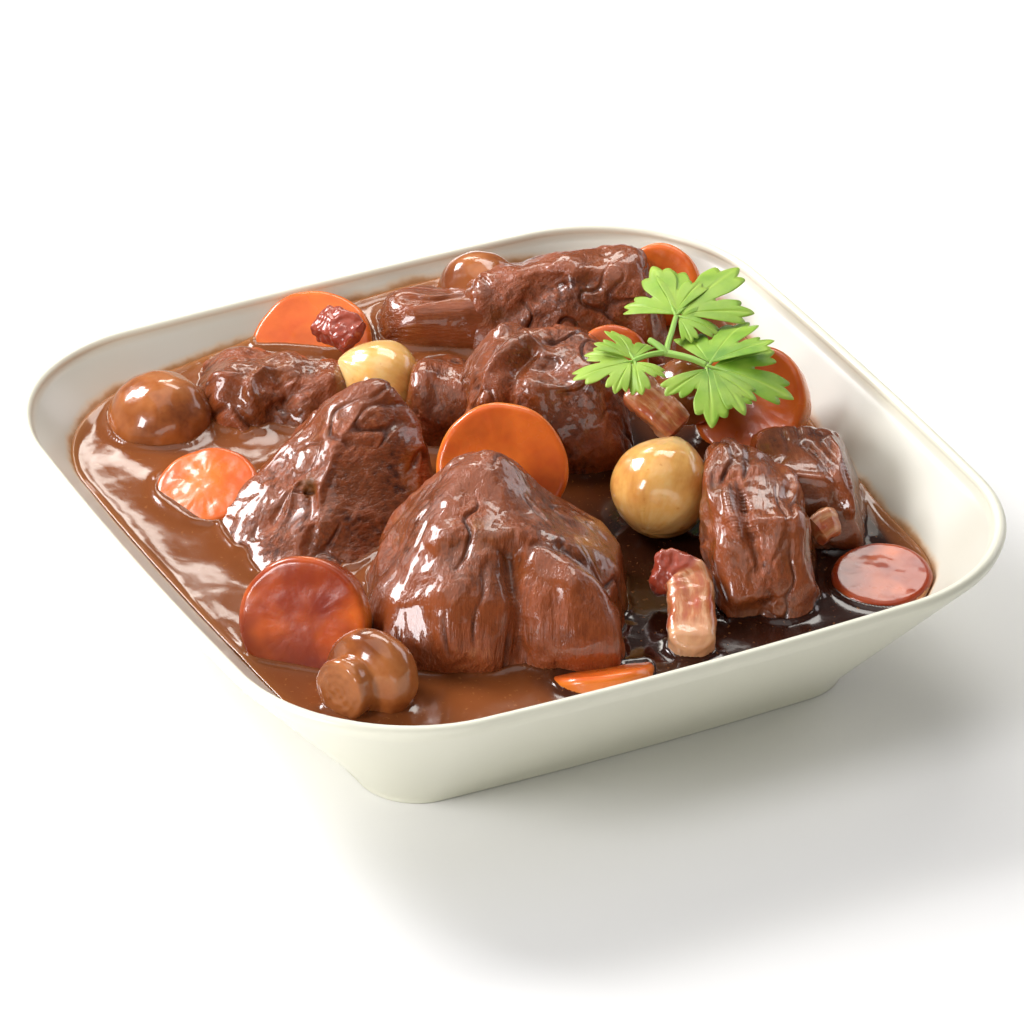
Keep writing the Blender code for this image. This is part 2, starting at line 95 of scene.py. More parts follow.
def smooth_curve(stations, count):
    """A smooth line of count points through a few stations."""
    stations = np.array(stations, float)
    padded = np.vstack([2 * stations[0] - stations[1], stations, 2 * stations[-1] - stations[-2]])
    line = []
    for t in np.linspace(0.0, len(stations) - 1.0, count):
        i = min(int(t), len(stations) - 2)
        f = t - i
        a, b, c, d = padded[i : i + 4]
        square, cube = 2 * a - 5 * b + 4 * c - d, 3 * b - a - 3 * c + d
        line.append(0.5 * (2 * b + (c - a) * f + square * f**2 + cube * f**3))
    return np.array(line)


def rounded_square(half, side_points=20, corner_points=22):
    """Plan points of one ring of the bowl, anticlockwise from the middle of its +X side."""
    share = (half - FOOT_HALF_SIDE) / (RIM_HALF_SIDE - FOOT_HALF_SIDE)
    radius = max(8.0, FOOT_CORNER_RADIUS + (RIM_CORNER_RADIUS - FOOT_CORNER_RADIUS) * share)
    radius = min(radius, half * 0.6)
    corner = half - radius
    t = np.arange(side_points) / side_points
    a = 0.5 * math.pi * np.arange(corner_points) / corner_points
    side = np.stack([half - SIDE_BOW * t * t, corner * t], 1)
    arc = corner + (radius - SIDE_BOW) * np.stack([np.cos(a), np.sin(a)], 1)
    other = np.stack([corner * (1 - t), half - SIDE_BOW * (1 - t) ** 2], 1)
    quarter = np.vstack([side, arc, other])
    turns = [np.array(((c, s), (-s, c))) for c, s in ((1, 0), (0, 1), (-1, 0), (0, -1))]
    return np.vstack([quarter @ turn for turn in turns])


def lean(height):
    """How far out the wall has come at a height, where it turns out of the foot and then leans straight."""
    return np.hypot(height, FOOT_TURN) - FOOT_TURN


def outside_half(height):
    return FOOT_HALF_SIDE + (WALL_TOP_HALF_SIDE - FOOT_HALF_SIDE) * lean(height) / lean(WALL_TOP)


def inside_half(height):
    """The outside less the wall's thickness, and less the turn into the floor."""
    share = (height - FLOOR_HEIGHT) / (INSIDE_TOP - FLOOR_HEIGHT)
    thickness = WALL_AT_FLOOR + (WALL_AT_LIP - WALL_AT_FLOOR) * share
    up = np.clip((height - FLOOR_HEIGHT) / FLOOR_TURN_HEIGHT, 0.0, 1.0)
    turn = FLOOR_TURN_WIDTH * (1.0 - np.sqrt(1.0 - (1.0 - up) ** 2))
    return outside_half(height) - thickness - turn


def bowl_ring(half, height):
    plan = rounded_square(half)
    size = np.abs(plan)
    diagonal = 2.0 * size.min(axis=1) / size.sum(axis=1)
    lift = LIP_CORNER_LIFT * diagonal**2 * smooth_step(height, 10.0, BOWL_HEIGHT)
    return np.column_stack([plan, height + lift])


def sauce_level(x, y):
    """Height of the sauce: it stands higher towards the back, where the food is heaped."""
    slope = 7.0 * smooth_step(y, -40.0, 80.0) * (0.88 + 0.22 * x / 90.0)
    creep = 4.6 * smooth_step(y, 40.0, 95.0) * np.exp(-(((x - 20.0) / 60.0) ** 2))
    return 28.0 + slope + creep


def loft(rings, closed_ends=True):
    """Quads between rings of points, and a fan at each end."""
    count = len(rings[0])
    points = np.vstack(rings)
    i = np.arange(count)
    j = (i + 1) % count
    faces = []
    for r in range(len(rings) - 1):
        a, b = r * count, (r + 1) * count
        faces += np.stack([a + i, a + j, b + j, b + i], 1).tolist()
    if closed_ends:
        for r, flip in ((0, True), (len(rings) - 1, False)):
            middle = len(points)
            points = np.vstack([points, rings[r].mean(axis=0)])
            a, b = r * count + i, r * count + j
            order = (b, a) if flip else (a, b)
            faces += np.stack([np.full(count, middle), *order], 1).tolist()
    return points, faces


def make_piece(name, points, faces, finish, values=None):
    """A smooth-shaded mesh from points in millimetres, with named numbers at each point for its finish."""
    mesh = bpy.data.meshes.new(name)
    mesh.from_pydata((np.asarray(points, float) * MM).tolist(), [], [tuple(f) for f in faces])
    mesh.shade_smooth()
    mesh.materials.append(finish.material)
    for label, numbers in (values or {}).items():
        numbers = np.asarray(numbers, np.float32)
        kind, field = ("FLOAT", "value") if numbers.ndim == 1 else ("FLOAT_VECTOR", "vector")
        mesh.attributes.new(label, kind, "POINT").data.foreach_set(field, numbers.ravel())
    piece = bpy.data.objects.new(name, mesh)
    bpy.context.scene.collection.objects.link(piece)
    return piece


def serve(piece, node):
    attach(piece, "root")
    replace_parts(piece, node)
    return piece


class Mixable:
    """A shader value that Python's operators work on; each operator adds its Math node."""

    def __init__(self, finish, socket):
        self.finish, self.socket = finish, socket

    def math(self, operation, *values):
        return self.finish.add("Math", {"operation": operation}, dict(enumerate(values)))

    def __add__(self, other):
        return self.math("ADD", self, other)

    def __sub__(self, other):
        return self.math("SUBTRACT", self, other)

    def __rsub__(self, other):
        return self.math("SUBTRACT", other, self)

    def __mul__(self, other):
        return self.math("MULTIPLY", self, other)

    def __truediv__(self, other):
        return self.math("DIVIDE", self, other)

    def __pow__(self, other):
        return self.math("POWER", self, other)

    __radd__, __rmul__ = __add__, __mul__

    def between(self, low, high, start=0.0, end=1.0):
        """Start below low, end above high, and a smooth change between them."""
        ends = {"Value": self, "From Min": low, "From Max": high, "To Min": start, "To Max": end}
        return self.finish.add("MapRange", {"interpolation_type": "SMOOTHSTEP"}, ends)


class Finish:
    """A surface finish: one Principled shader, its fixed numbers, and the nodes that feed it."""

    def __init__(self, name, fixed):
        self.material = bpy.data.materials.new(name)
        self.material.use_nodes = True
        self.tree = self.material.node_tree
        self.shader = self.tree.nodes["Principled BSDF"]
        for socket, value in fixed.items():
            self.shader.inputs[socket].default_value = value

    def add(self, kind, settings=None, sockets=None, output=0):
        """Adds a node, with its settings first and then its socket values or links."""
        node = self.tree.nodes.new("ShaderNode" + kind)
        for setting, value in (settings or {}).items():
            if setting != "stops":
                setattr(node, setting, value)
                continue
            stops = node.color_ramp.elements
            for stop, (place, colour) in ((stops[0], value[0]), (stops[-1], value[-1])):
                stop.position, stop.color = place, (*colour, 1.0)
            for place, colour in value[1:-1]:
                stops.new(place).color = (*colour, 1.0)
        for socket, value in (sockets or {}).items():
            self.put(node.inputs[socket], value)
        return Mixable(self, node.outputs[output])

    def put(self, socket, value):
        if isinstance(value, Mixable):
            self.tree.links.new(value.socket, socket)
        elif isinstance(value, tuple) and len(value) == 3 and len(socket.default_value) == 4:
            socket.default_value = (*value, 1.0)
        else:
            socket.default_value = value

    def feed(self, socket, value):
        self.put(self.shader.inputs[socket], value)

    def value(self, label):
        """A number laid on the piece's points."""
        return self.add("Attribute", {"attribute_name": label}, output="Fac")

    def place(self, label=None):
        """Where a point is: the piece's own place in metres, or a place laid on its points."""
        if label:
            return self.add("Attribute", {"attribute_name": label}, output="Vector")
        return self.add("TexCoord", output="Object")

    def mottle(self, scale, place, detail=3.0, rough=0.5):
        """Soft cloudy noise from 0 to 1."""
        sockets = {"Vector": place, "Scale": scale, "Detail": detail, "Roughness": rough}
        return self.add("TexNoise", None, sockets)

    def tint(self, share, first, second, way="MIX"):
        settings = {"data_type": "RGBA", "blend_type": way}
        return self.add("Mix", settings, {0: share, 6: first, 7: second}, output=2)

    def grades(self, share, *stops):
        """A colour that runs through the stops as share goes from 0 to 1."""
        return self.add("ValToRGB", {"stops": stops}, {"Fac": share})

    def relief(self, *layers):
        """Fine bumps, each (height, depth in metres, strength), one over the other."""
        normal = None
        for height, depth, strength in layers:
            sockets = {"Height": height, "Distance": depth, "Strength": strength}
            if normal:
                sockets["Normal"] = normal
            normal = self.add("Bump", None, sockets)
        self.feed("Normal", normal)


GLAZE = (0.64, 0.630, 0.560)
GLAZE_IN_HOLLOWS = (0.61, 0.590, 0.500)
# the outside copy of the glaze is brighter than the inside: painted light on the outer wall
GLAZE_OUTSIDE_LIT = (0.80, 0.790, 0.650)
STAIN = (0.42, 0.20, 0.075)
STAIN_THIN = (0.66, 0.50, 0.33)

porcelain = Finish("porcelain", {
    "IOR": 1.48, "Coat Weight": 0.12, "Coat Roughness": 0.16,
})
where = porcelain.place()
cloud = porcelain.mottle(14.0, where, 3.0)
glaze = porcelain.tint(cloud.between(0.35, 0.75), GLAZE, GLAZE_IN_HOLLOWS)
# outside the bowl the brighter copy of the glaze is used: painted light on the outer wall
glaze = porcelain.tint(porcelain.value("inside"), GLAZE_OUTSIDE_LIT, glaze)
# a thin tide mark of sauce, stronger at the waterline and ragged above it
ragged = porcelain.mottle(70.0, where, 4.0, 0.6) * 4.0 - 1.6
above = porcelain.value("above_sauce") - ragged
film = porcelain.tint(above.between(0.2, 1.6), STAIN, STAIN_THIN)
stained = porcelain.tint(above.between(0.7, 2.3, 1.0, 0.0) * porcelain.value("inside"), glaze, film)
porcelain.feed("Base Color", stained)
porcelain.feed("Roughness", 0.28 + porcelain.mottle(60.0, where, 2.0) * 0.12)
porcelain.relief(
    (porcelain.mottle(22.0, where, 1.0), 0.0006, 0.25),
    (porcelain.mottle(220.0, where, 2.0), 0.00003, 0.25),
)

foot_inside = FOOT_HALF_SIDE - FOOT_RIM_WIDTH
outside = [(4.0, FOOT_RECESS), (30.0, FOOT_RECESS), (foot_inside - 1.4, FOOT_RECESS)]
outside += [(foot_inside - 0.9, FOOT_RECESS * 0.9), (foot_inside - 0.3, 0.3), (foot_inside + 0.2, 0.06)]
outside += [(foot_inside + 0.8, 0.0), (FOOT_HALF_SIDE - 1.4, 0.0)]
outside += [(FOOT_HALF_SIDE - 0.8, 0.0), (FOOT_HALF_SIDE - 0.2, 0.12), (FOOT_HALF_SIDE + 0.15, 0.5)]
outside += [(outside_half(height), height) for height in WALL_TOP * np.linspace(0.17, 1.0, 32) ** 2]
lip = [math.radians(turn) for turn in range(-35, 206, 16)]
lip_half = RIM_HALF_SIDE - LIP_RADIUS
outside += [(lip_half + LIP_RADIUS * math.cos(a), LIP_CENTRE_HEIGHT + LIP_RADIUS * math.sin(a)) for a in lip]
down = FLOOR_HEIGHT + (INSIDE_TOP - FLOOR_HEIGHT) * np.linspace(1.0, 0.0, 54) ** 1.6
inside = [(inside_half(height), height) for height in down]
inside += [(40.0, 4.6), (12.0, 4.6)]
rings = [bowl_ring(half, height) for half, height in outside + inside]
bowl_points, bowl_faces = loft(rings)
ring_size = len(rings[0])
within = np.repeat(np.arange(len(rings)) >= len(outside), ring_size).astype(float)
within = np.concatenate([within, [0.0, 1.0]])
above_sauce = bowl_points[:, 2] - sauce_level(bowl_points[:, 0], bowl_points[:, 1])
bowl_values = {"above_sauce": above_sauce, "inside": within}
bowl = make_piece("porcelain_bowl", bowl_points, bowl_faces, porcelain, bowl_values)
serve(bowl, "bowl")

# ---------------------------------------------------------------- beef
# Chunks of stewing beef, cut along and across the grain and braised until the fibres part.
# Each is a rounded chunk inside its cut sides, with seams, bundles of fibres and a coat of sauce.


def seeded(seed, cells):
    """A repeatable direction for each corner of the noise lattice."""
    mixed = cells[:, 0] * 73856093 ^ cells[:, 1] * 19349663 ^ cells[:, 2] * 83492791 ^ (seed * 9176 + 77)
    mixed = (mixed ^ (mixed >> 13)) * 1274126177 & 0x7FFFFFFF
    mixed = (mixed ^ (mixed >> 11)) * 668265263 & 0x7FFFFFFF
    turn = (mixed & 1023) * (2.0 * math.pi / 1024.0)
    rise = ((mixed >> 12) & 1023) / 511.5 - 1.0
    level = np.sqrt(1.0 - rise**2)
    return np.stack([level * np.cos(turn), level * np.sin(turn), rise], 1)


def lumps(points, size, seed):
    """Smooth noise from about -1 to 1 whose lumps are about size across."""
    place = np.asarray(points) / size + 31.7
    cell = np.floor(place).astype(np.int64)
    rest = place - cell
    blend = rest**3 * (rest * (rest * 6.0 - 15.0) + 10.0)
    total = np.zeros(len(place))
    for corner in range(8):
        step = np.array([(corner >> k) & 1 for k in range(3)])
        weight = np.prod(np.where(step, blend, 1.0 - blend), axis=1)
        total += weight * (seeded(seed, cell + step) * (rest - step)).sum(axis=1)
    return total * 1.7


def drift(points, size, seed):
    """A smooth push in three directions."""
    return np.stack([lumps(points, size, seed + k) for k in range(3)], 1)


def even_ball(detail):
    """Directions and triangles of an even ball."""
    made = bmesh.new()
    bmesh.ops.create_icosphere(made, subdivisions=detail, radius=1.0)
    points = np.array([v.co[:] for v in made.verts])
    faces = np.array([[v.index for v in f.verts] for f in made.faces])
    made.free()
    return points, faces


BALLS = {detail: even_ball(detail) for detail in (6, 7)}


def normals_of(points, faces):
    """The outward direction at each point of a skin of triangles."""
    a, b, c = (points[faces[:, k]] for k in range(3))
    flat = np.cross(b - a, c - a)
    total = np.zeros_like(points)
    for k in range(3):
        for axis in range(3):
            total[:, axis] += np.bincount(faces[:, k], flat[:, axis], len(points))
    return total / np.linalg.norm(total, axis=1)[:, None]


def in_box(node, share=(0.5, 0.5, 0.5)):
    """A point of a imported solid's box, in millimetres: 0 is its low side and 1 its high side."""
    low, high = (np.array(corner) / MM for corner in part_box(node))
    return low + (high - low) * np.array(share)


HALVES = np.linspace(40.0, 100.0, 31)
STEPS_ROUND = 720


def polar_table():
    """How far out the bowl's outline lies, for each half side and each direction."""
    rows = []
    for half in HALVES:
        x, y = rounded_square(half).T
        turn = np.arctan2(y, x) % (2.0 * math.pi)
        order = np.argsort(turn)
        around = np.linspace(0.0, 2.0 * math.pi, STEPS_ROUND, endpoint=False)
        rows.append(np.interp(around, turn[order], np.hypot(x, y)[order], period=2.0 * math.pi))
    return np.array(rows)


OUTLINES = polar_table()


def wall_distance_out(x, y, z):
    """How far the inner wall is from the middle, in the direction of (x, y) at height z."""
    half = inside_half(np.clip(z, FLOOR_HEIGHT, INSIDE_TOP))
    row = np.clip((half - HALVES[0]) / (HALVES[1] - HALVES[0]), 0, len(HALVES) - 1.001)
    column = (np.arctan2(y, x) % (2.0 * math.pi)) / (2.0 * math.pi) * STEPS_ROUND
    r, c = row.astype(int), column.astype(int) % STEPS_ROUND
    f, g = row - r, column - np.floor(column)
    d = (c + 1) % STEPS_ROUND
    near = OUTLINES[r, c] * (1 - g) + OUTLINES[r, d] * g
    far = OUTLINES[r + 1, c] * (1 - g) + OUTLINES[r + 1, d] * g
    return near * (1 - f) + far * f


def kept_in_bowl(points, room=0.5):
    """The same points, with those that would pierce the wall pressed flat against it."""
    x, y, z = points.T
    out = np.hypot(x, y)
    wall = wall_distance_out(x, y, z) - room
    pressed = np.minimum(1.0, wall / np.maximum(out, 1e-6))
    return points * np.stack([pressed, pressed, np.ones_like(pressed)], 1)


def angle_from(directions, towards):
    return np.degrees(np.arccos(np.clip(directions @ towards, -1.0, 1.0)))


def fold_height(directions, folds):
    """Ridges and valleys along lines of directions, each (height, width in degrees, stations)."""
    total = np.zeros(len(directions))
    for height, width, stations in folds:
        line = smooth_curve([heading(a, e) for a, e in stations], 12 * len(stations))
        line /= np.linalg.norm(line, axis=1)[:, None]
        nearest = (directions @ line.T).max(axis=1)
        total += height * np.exp(-((np.degrees(np.arccos(np.clip(nearest, -1.0, 1.0))) / width) ** 2))
    return total


BEEF_MIDDLE = (0.205, 0.050, 0.013)
BEEF_LIGHT = (0.42, 0.150, 0.052)
BEEF_DARK = (0.055, 0.0115, 0.0045)
BEEF_RED = (0.285, 0.064, 0.016)
BEEF_OLIVE = (0.165, 0.075, 0.013)
GRAVY_COAT = (0.165, 0.045, 0.012)

braised = Finish("braised_beef", {
    "IOR": 1.45, "Specular IOR Level": 0.4, "Coat Roughness": 0.03, "Coat IOR": 1.5,
    "Subsurface Weight": 0.06, "Subsurface Radius": (1.0, 0.25, 0.1), "Subsurface Scale": 0.0015,
})
where, grain = braised.place(), braised.place("grain")
coat, seam, fibre = braised.value("coat"), braised.value("seam"), braised.value("fibre")
broad = braised.mottle(60.0, where, 3.0, 0.55)
streak = braised.mottle(9.0, grain, 4.0, 0.6)
crumb = braised.mottle(480.0, where, 4.0, 0.65)
tone = broad * 0.60 + streak * 0.45 + crumb * 0.40 + fibre * 0.05 - 0.225
flesh = braised.grades(tone, (0.29, BEEF_DARK), (0.47, BEEF_MIDDLE), (0.59, BEEF_RED), (0.75, BEEF_LIGHT))
olive = braised.mottle(48.0, where, 2.0).between(0.58, 0.72) * 0.6
flesh = braised.tint(olive * (1 - coat), flesh, BEEF_OLIVE)
flesh = braised.tint(coat * broad.between(0.35, 0.6) * 0.55, flesh, GRAVY_COAT)
flesh = braised.tint(braised.value("ridge") * 0.6, flesh, BEEF_RED)
# seams go dark: the meat's own darker colour between fibre bundles, with painted shade in these creases
flesh = braised.tint(seam * 0.9, flesh, BEEF_DARK)
braised.feed("Base Color", flesh)
pits = braised.mottle(900.0, where, 2.0)
braised.feed("Roughness", 0.34 - coat * 0.20 + streak * 0.12)
braised.feed("Coat Weight", 0.10 + coat * 0.60)
braised.relief(
    (streak * (1 - coat * 0.45), 0.0010, 0.55),
    (braised.mottle(22.0, grain, 3.0) * (1 - coat * 0.45), 0.0005, 0.50),
    (pits, 0.00028, 0.45),
)


def chunk_of_beef(name, share, sides, crisp, grain, detail, seed, swells=(), rim=0.0, folds=(),
                  ragged=1.0, wet=0.0):
    """A braised chunk inside its sides, each (heading, rise, distance from its middle).

    A swell raises or hollows the skin round one direction, rim lifts it where two sides meet, and wet
    is how far its coat of gravy spreads.
    """
    normals = np.array([heading(a, e) for a, e, _ in sides])
    far = np.array([d for _, _, d in sides])

    def reach(directions):
        pressed = np.clip(directions @ normals.T / far, 0.0, None)
        size = (pressed**crisp).sum(axis=1) ** (-1.0 / crisp)
        for a, e, spread, rise in swells:
            size = size * (1.0 + rise * np.exp(-((angle_from(directions, heading(a, e)) / spread) ** 2)))
        return size

    around, faces = BALLS[detail]
    first = around * reach(around)[:, None]
    spread_of, axes = np.linalg.eigh(np.cov(first.T))
    stretched = (around + (0.0, 0.0, 0.35)) @ (axes * np.sqrt(spread_of)) @ axes.T
    directions = stretched / np.linalg.norm(stretched, axis=1)[:, None]
    middle = in_box(name, share)
    pressed = np.clip(directions @ normals.T / far, 0.0, None) ** crisp
    ridge = smooth_step(pressed.max(axis=1) / pressed.sum(axis=1), 0.72, 0.46)
    points = directions * (reach(directions) + rim * ridge + fold_height(directions, folds))[:, None] + middle
    points = points + drift(points, 19.0, seed) * 1.5 * ragged + drift(points, 8.5, seed + 5) * 0.8 * ragged

    out = normals_of(points, faces)
    along = heading(*grain)
    lengthwise = (points - middle) @ along
    bundle_place = points - along * (lengthwise * 0.78)[:, None] + drift(points, 14.0, seed + 9) * 1.4
    fibre_place = points - along * (lengthwise * 0.90)[:, None] + drift(points, 9.0, seed + 12) * 0.9
    coat = smooth_step(lumps(points, 11.0, seed + 20) + 0.35 * out[:, 2] + wet, -0.08, 0.30)
    seams = smooth_step(np.abs(lumps(bundle_place, 8.5, seed + 23)), 0.14, 0.0)
    seams = seams * smooth_step(lumps(points, 16.0, seed + 25), -0.2, 0.4)
    bundles = lumps(bundle_place, 3.6, seed + 27)
    fibres = lumps(fibre_place, 1.25, seed + 30)
    crumbs = lumps(points, 2.2, seed + 33)
    fine_wrinkles = lumps(points, 3.4, seed + 38) * 0.16 * (1.0 - 0.4 * coat)
    wrinkles = lumps(bundle_place, 7.0, seed + 36) * 0.55 + fine_wrinkles
    relief = bundles * 0.36 + fibres * 0.17 + crumbs * 0.15
    relief = (relief * (1.0 - 0.66 * coat) + wrinkles) * ragged - seams * 1.15 * (1.0 - 0.4 * coat)
    points = kept_in_bowl(points + out * relief[:, None])
    # the seams are also darkened in the finish, partly as painted shade in the creases
    values = {
        "coat": coat, "seam": seams * (1.0 - 0.5 * coat), "fibre": fibres, "ridge": ridge,
        "grain": (points - along * (lengthwise * 0.86)[:, None]) * 0.1,
    }
    return serve(make_piece(name + "_chunk", points, faces, braised, values), name)


chunk_of_beef(
    "beef_front", (0.526, 0.545, 0.413),
    ((242, -20, 30), (242, 30, 27), (242, 62, 22), (62, 55, 32), (62, -10, 22), (153, 5, 31),
     (153, 50, 27), (333, 5, 31), (333, 58, 23), (0, -90, 20)),
    5.5, (60, 55), 7, 101,
    swells=((225, 30, 28, 0.06), (265, 35, 24, 0.06), (74, 46, 20, 0.18), (332, 35, 25, 0.05)),
    rim=0.8,
    folds=(
        (-4.0, 7.0, ((265, 60), (255, 0))),
        (3.0, 13.0, ((215, 30), (220, 15))),
        (3.0, 12.0, ((290, 30), (290, 10))),
        (-1.5, 5.0, ((310, 45), (310, 0))),
        (1.0, 9.0, ((170, 45), (240, 75), (320, 55))),
    ),
)
chunk_of_beef(
    "beef_left", (0.486, 0.469, 0.466),
    ((182, 60, 12), (283, 48, 13), (62, 50, 28), (62, -10, 24), (153, 0, 26), (242, 0, 33),
     (242, -30, 29), (333, 10, 27), (0, -90, 20), (125, 37, 19.5)),
    6.0, (215, 25), 7, 202,
    swells=((42, 44, 22, 0.24),),
    rim=0.9,
    folds=(
        (1.2, 4.0, ((195, 60), (210, 10))),
        (-1.3, 4.5, ((225, 60), (235, 10))),
        (-1.0, 4.0, ((180, 50), (195, 10))),
    ),
)
chunk_of_beef(
    "beef_right", (0.502, 0.518, 0.476),
    ((242, 0, 27), (242, 45, 20), (62, 55, 27), (62, 0, 20),
     (153, 0, 12.5), (333, 10, 13), (0, 90, 16), (0, -90, 18)),
    4.5, (242, -12), 7, 303,
    swells=((86, 40, 24, 0.30), (225, 5, 20, 0.05)),
    rim=0.8,
    folds=(
        (-1.3, 5.0, ((90, 60), (240, 20))),
        (1.3, 4.0, ((120, 70), (220, 35))),
    ),
    ragged=1.3,
)
chunk_of_beef(
    "beef_middle", (0.508, 0.527, 0.507),
    ((62, 58, 24), (62, 0, 17), (242, 30, 22), (242, -10, 22),
     (153, 8, 20), (333, 8, 20), (0, 90, 22), (0, -90, 22)),
    4.6, (245, 60), 7, 404,
    folds=(
        (2.2, 6.0, ((165, 78), (187, 50), (200, 28))), (-2.0, 5.0, ((205, 74), (212, 48), (216, 26))),
        (1.2, 5.0, ((128, 60), (140, 40), (160, 20))), (-2.2, 9.0, ((246, 62), (252, 54))),
    ),
    ragged=1.3,
)
chunk_of_beef(
    "beef_right_back", (0.414, 0.484, 0.549),
    ((62, 58, 20), (62, 0, 17), (242, 20, 16), (242, -10, 18),
     (153, 5, 16), (333, 20, 11), (0, 90, 14), (0, -90, 18)),
    5.0, (250, 5), 6, 505,
    rim=0.9,
    folds=(
        (-1.3, 6.0, ((80, 75), (265, 30))),
        (1.5, 5.0, ((30, 60), (275, 20))),
    ),
    ragged=0.45, wet=1.2,
)
chunk_of_beef(
    "beef_back_left", (0.507, 0.503, 0.561),
    ((62, 58, 16), (62, 0, 15), (242, 30, 15), (242, 0, 18),
     (153, 8, 18), (333, 8, 20), (0, 90, 14), (0, -90, 18)),
    4.5, (330, 55), 6, 606,
    folds=((-1.4, 6.0, ((250, 70), (262, 45), (270, 20))), (1.2, 6.0, ((200, 70), (215, 40)))),
    ragged=2.0,
)
chunk_of_beef(
    "beef_small_middle", (0.379, 0.37, 0.624),
    ((62, 58, 8), (242, 30, 8.5), (153, 0, 7), (333, 0, 10), (0, -90, 12), (0, 90, 8)),
    3.2, (60, 10), 6, 707, ragged=1.5,
)
chunk_of_beef(
    "beef_back", (0.496, 0.513, 0.471),
    ((85, 57, 18), (62, 0, 14), (242, 35, 14.5), (242, 0, 16),
     (153, 5, 29), (333, 15, 22), (0, 90, 19), (0, -90, 16)),
    5.0, (250, 40), 7, 808,
    rim=0.7,
    folds=(
        (-1.4, 6.0, ((180, 15), (215, 65))),
        (-1.4, 7.0, ((275, 65), (290, 5))),
    ),
)
chunk_of_beef(
    "beef_back_roll", (0.566, 0.514, 0.583),
    ((62, 60, 10), (62, 0, 9), (242, 30, 9), (242, 0, 10),
     (153, 10, 14), (333, 10, 16), (0, 90, 9), (0, -90, 12)),
    3.6, (333, 5), 6, 909, folds=((-1.6, 7.0, ((160, 40), (200, 70), (320, 70), (335, 40))),),
    ragged=0.7, wet=0.7,
)

# ---------------------------------------------------------------- carrots
# Round slices of carrot, cut straight across and simmered until their edges soften.
# Each is a turned disc with a faint core, a rounded arris and a film of sauce in places.

CARROT_FACE = (0.84, 0.180, 0.020)
CARROT_DEEP = (0.56, 0.070, 0.008)
CARROT_CORE = (0.90, 0.26, 0.030)
CARROT_SKIN = (0.84, 0.240, 0.026)

carrot = Finish("cooked_carrot", {
    "IOR": 1.40, "Coat Roughness": 0.05, "Coat Weight": 0.4, "Subsurface Weight": 0.22,
    "Subsurface Radius": (1.0, 0.30, 0.08), "Subsurface Scale": 0.0022,
})
where = carrot.place()
out_share, flank, coated = carrot.value("out_share"), carrot.value("flank"), carrot.value("coated")
cloud = carrot.mottle(62.0, where, 4.0, 0.6)
face = carrot.tint(cloud.between(0.30, 0.80) * 0.8, CARROT_FACE, CARROT_DEEP)
face = carrot.tint(out_share.between(0.42, 0.34) * 0.15, face, CARROT_CORE)
face = carrot.tint(flank * 0.75, face, CARROT_SKIN)
thin = carrot.mottle(70.0, where, 3.0).between(0.50, 0.72) * 0.35
gravy_film = (thin + coated * 0.8) * carrot.mottle(90.0, where, 2.0).between(0.15, 0.60)
face = carrot.tint(gravy_film, face, (0.27, 0.028, 0.008))
carrot.feed("Base Color", face)
carrot.feed("Roughness", 0.20 + cloud * 0.16)
rays = carrot.value("rays")
carrot.relief(
    (rays, 0.00012, 0.35),
    (carrot.mottle(260.0, where, 3.0), 0.00035, 0.30),
    (carrot.mottle(1100.0, where, 2.0), 0.0001, 0.25),
)


def axes_of(along):
    side = np.cross(along, (0.0, 0.0, 1.0)) if abs(along[2]) < 0.9 else np.cross(along, (0.0, 1.0, 0.0))
    side = side / np.linalg.norm(side)
    return side, np.cross(side, along)


def turned(middle, along, profile, segments, seed, wobble):
    """A turned shape that is a little out of round; also gives each point's turn and place on the profile."""
    side, up = axes_of(along)
    a = np.linspace(0.0, 2.0 * math.pi, segments, endpoint=False)
    ring = np.outer(np.cos(a), side) + np.outer(np.sin(a), up)
    circle = np.column_stack([np.cos(a), np.sin(a), np.zeros(segments)])
    around = 1.0 + wobble * lumps(circle * 1.6, 1.0, seed)
    rings = [middle + along * distance + ring * (radius * around)[:, None] for distance, radius in profile]
    points, faces = loft(rings)
    turn = np.concatenate([np.tile(a, len(profile)), [0.0, 0.0]])
    step = np.concatenate([np.repeat(np.arange(len(profile)), segments), [0, len(profile) - 1]])
    return points, faces, turn, step


def triangles(faces):
    rows = [(f[0], f[1], f[2]) for f in faces] + [(f[0], f[2], f[3]) for f in faces if len(f) == 4]
    return np.array(rows)


def slice_of_carrot(name, axis, radius, thickness, seed, coated=0.0, share=(0.5, 0.5, 0.5)):
    edge = min(1.7, thickness * 0.3)
    half, back = thickness * 0.5, radius * 0.94
    arris = [math.radians(t) for t in range(0, 91, 15)]
    profile = [(-half, back * k) for k in (0.05, 0.3, 0.6, 0.85)]
    profile += [(-half + edge - edge * math.cos(t), back - edge + edge * math.sin(t)) for t in arris]
    profile += [(half - edge + edge * math.sin(t), radius - edge + edge * math.cos(t)) for t in arris]
    profile += [(half, (radius - edge) * k) for k in np.linspace(0.96, 0.04, 26)]
    along = heading(*axis)
    middle = in_box(name, share)
    points, faces, turn, step = turned(middle, along, profile, 100, seed, 0.02)
    out = normals_of(points, triangles(faces))
    profile = np.array(profile)
    reach = np.array([r for _, r in profile])[step] / radius
    face = (profile[step, 0] > half - edge * 0.5) & (reach < 0.93)
    dip = 0.20 * smooth_step(reach, 0.7, 0.1)
    relief = lumps(points, 7.0, seed + 1) * 0.20 + lumps(points, 2.4, seed + 2) * 0.06
    relief = relief - np.where(face, dip, 0.0)
    points = kept_in_bowl(points + out * relief[:, None])
    rays = lumps(np.column_stack([np.cos(turn) * 6.0, np.sin(turn) * 6.0, reach * 1.1]), 1.0, seed + 3)
    values = {
        "out_share": reach, "flank": smooth_step(np.abs(out @ along), 0.75, 0.35),
        "rays": rays * smooth_step(reach, 0.3, 0.5), "coated": np.full(len(points), coated),
    }
    return serve(make_piece(name + "_slice", points, faces, carrot, values), name)


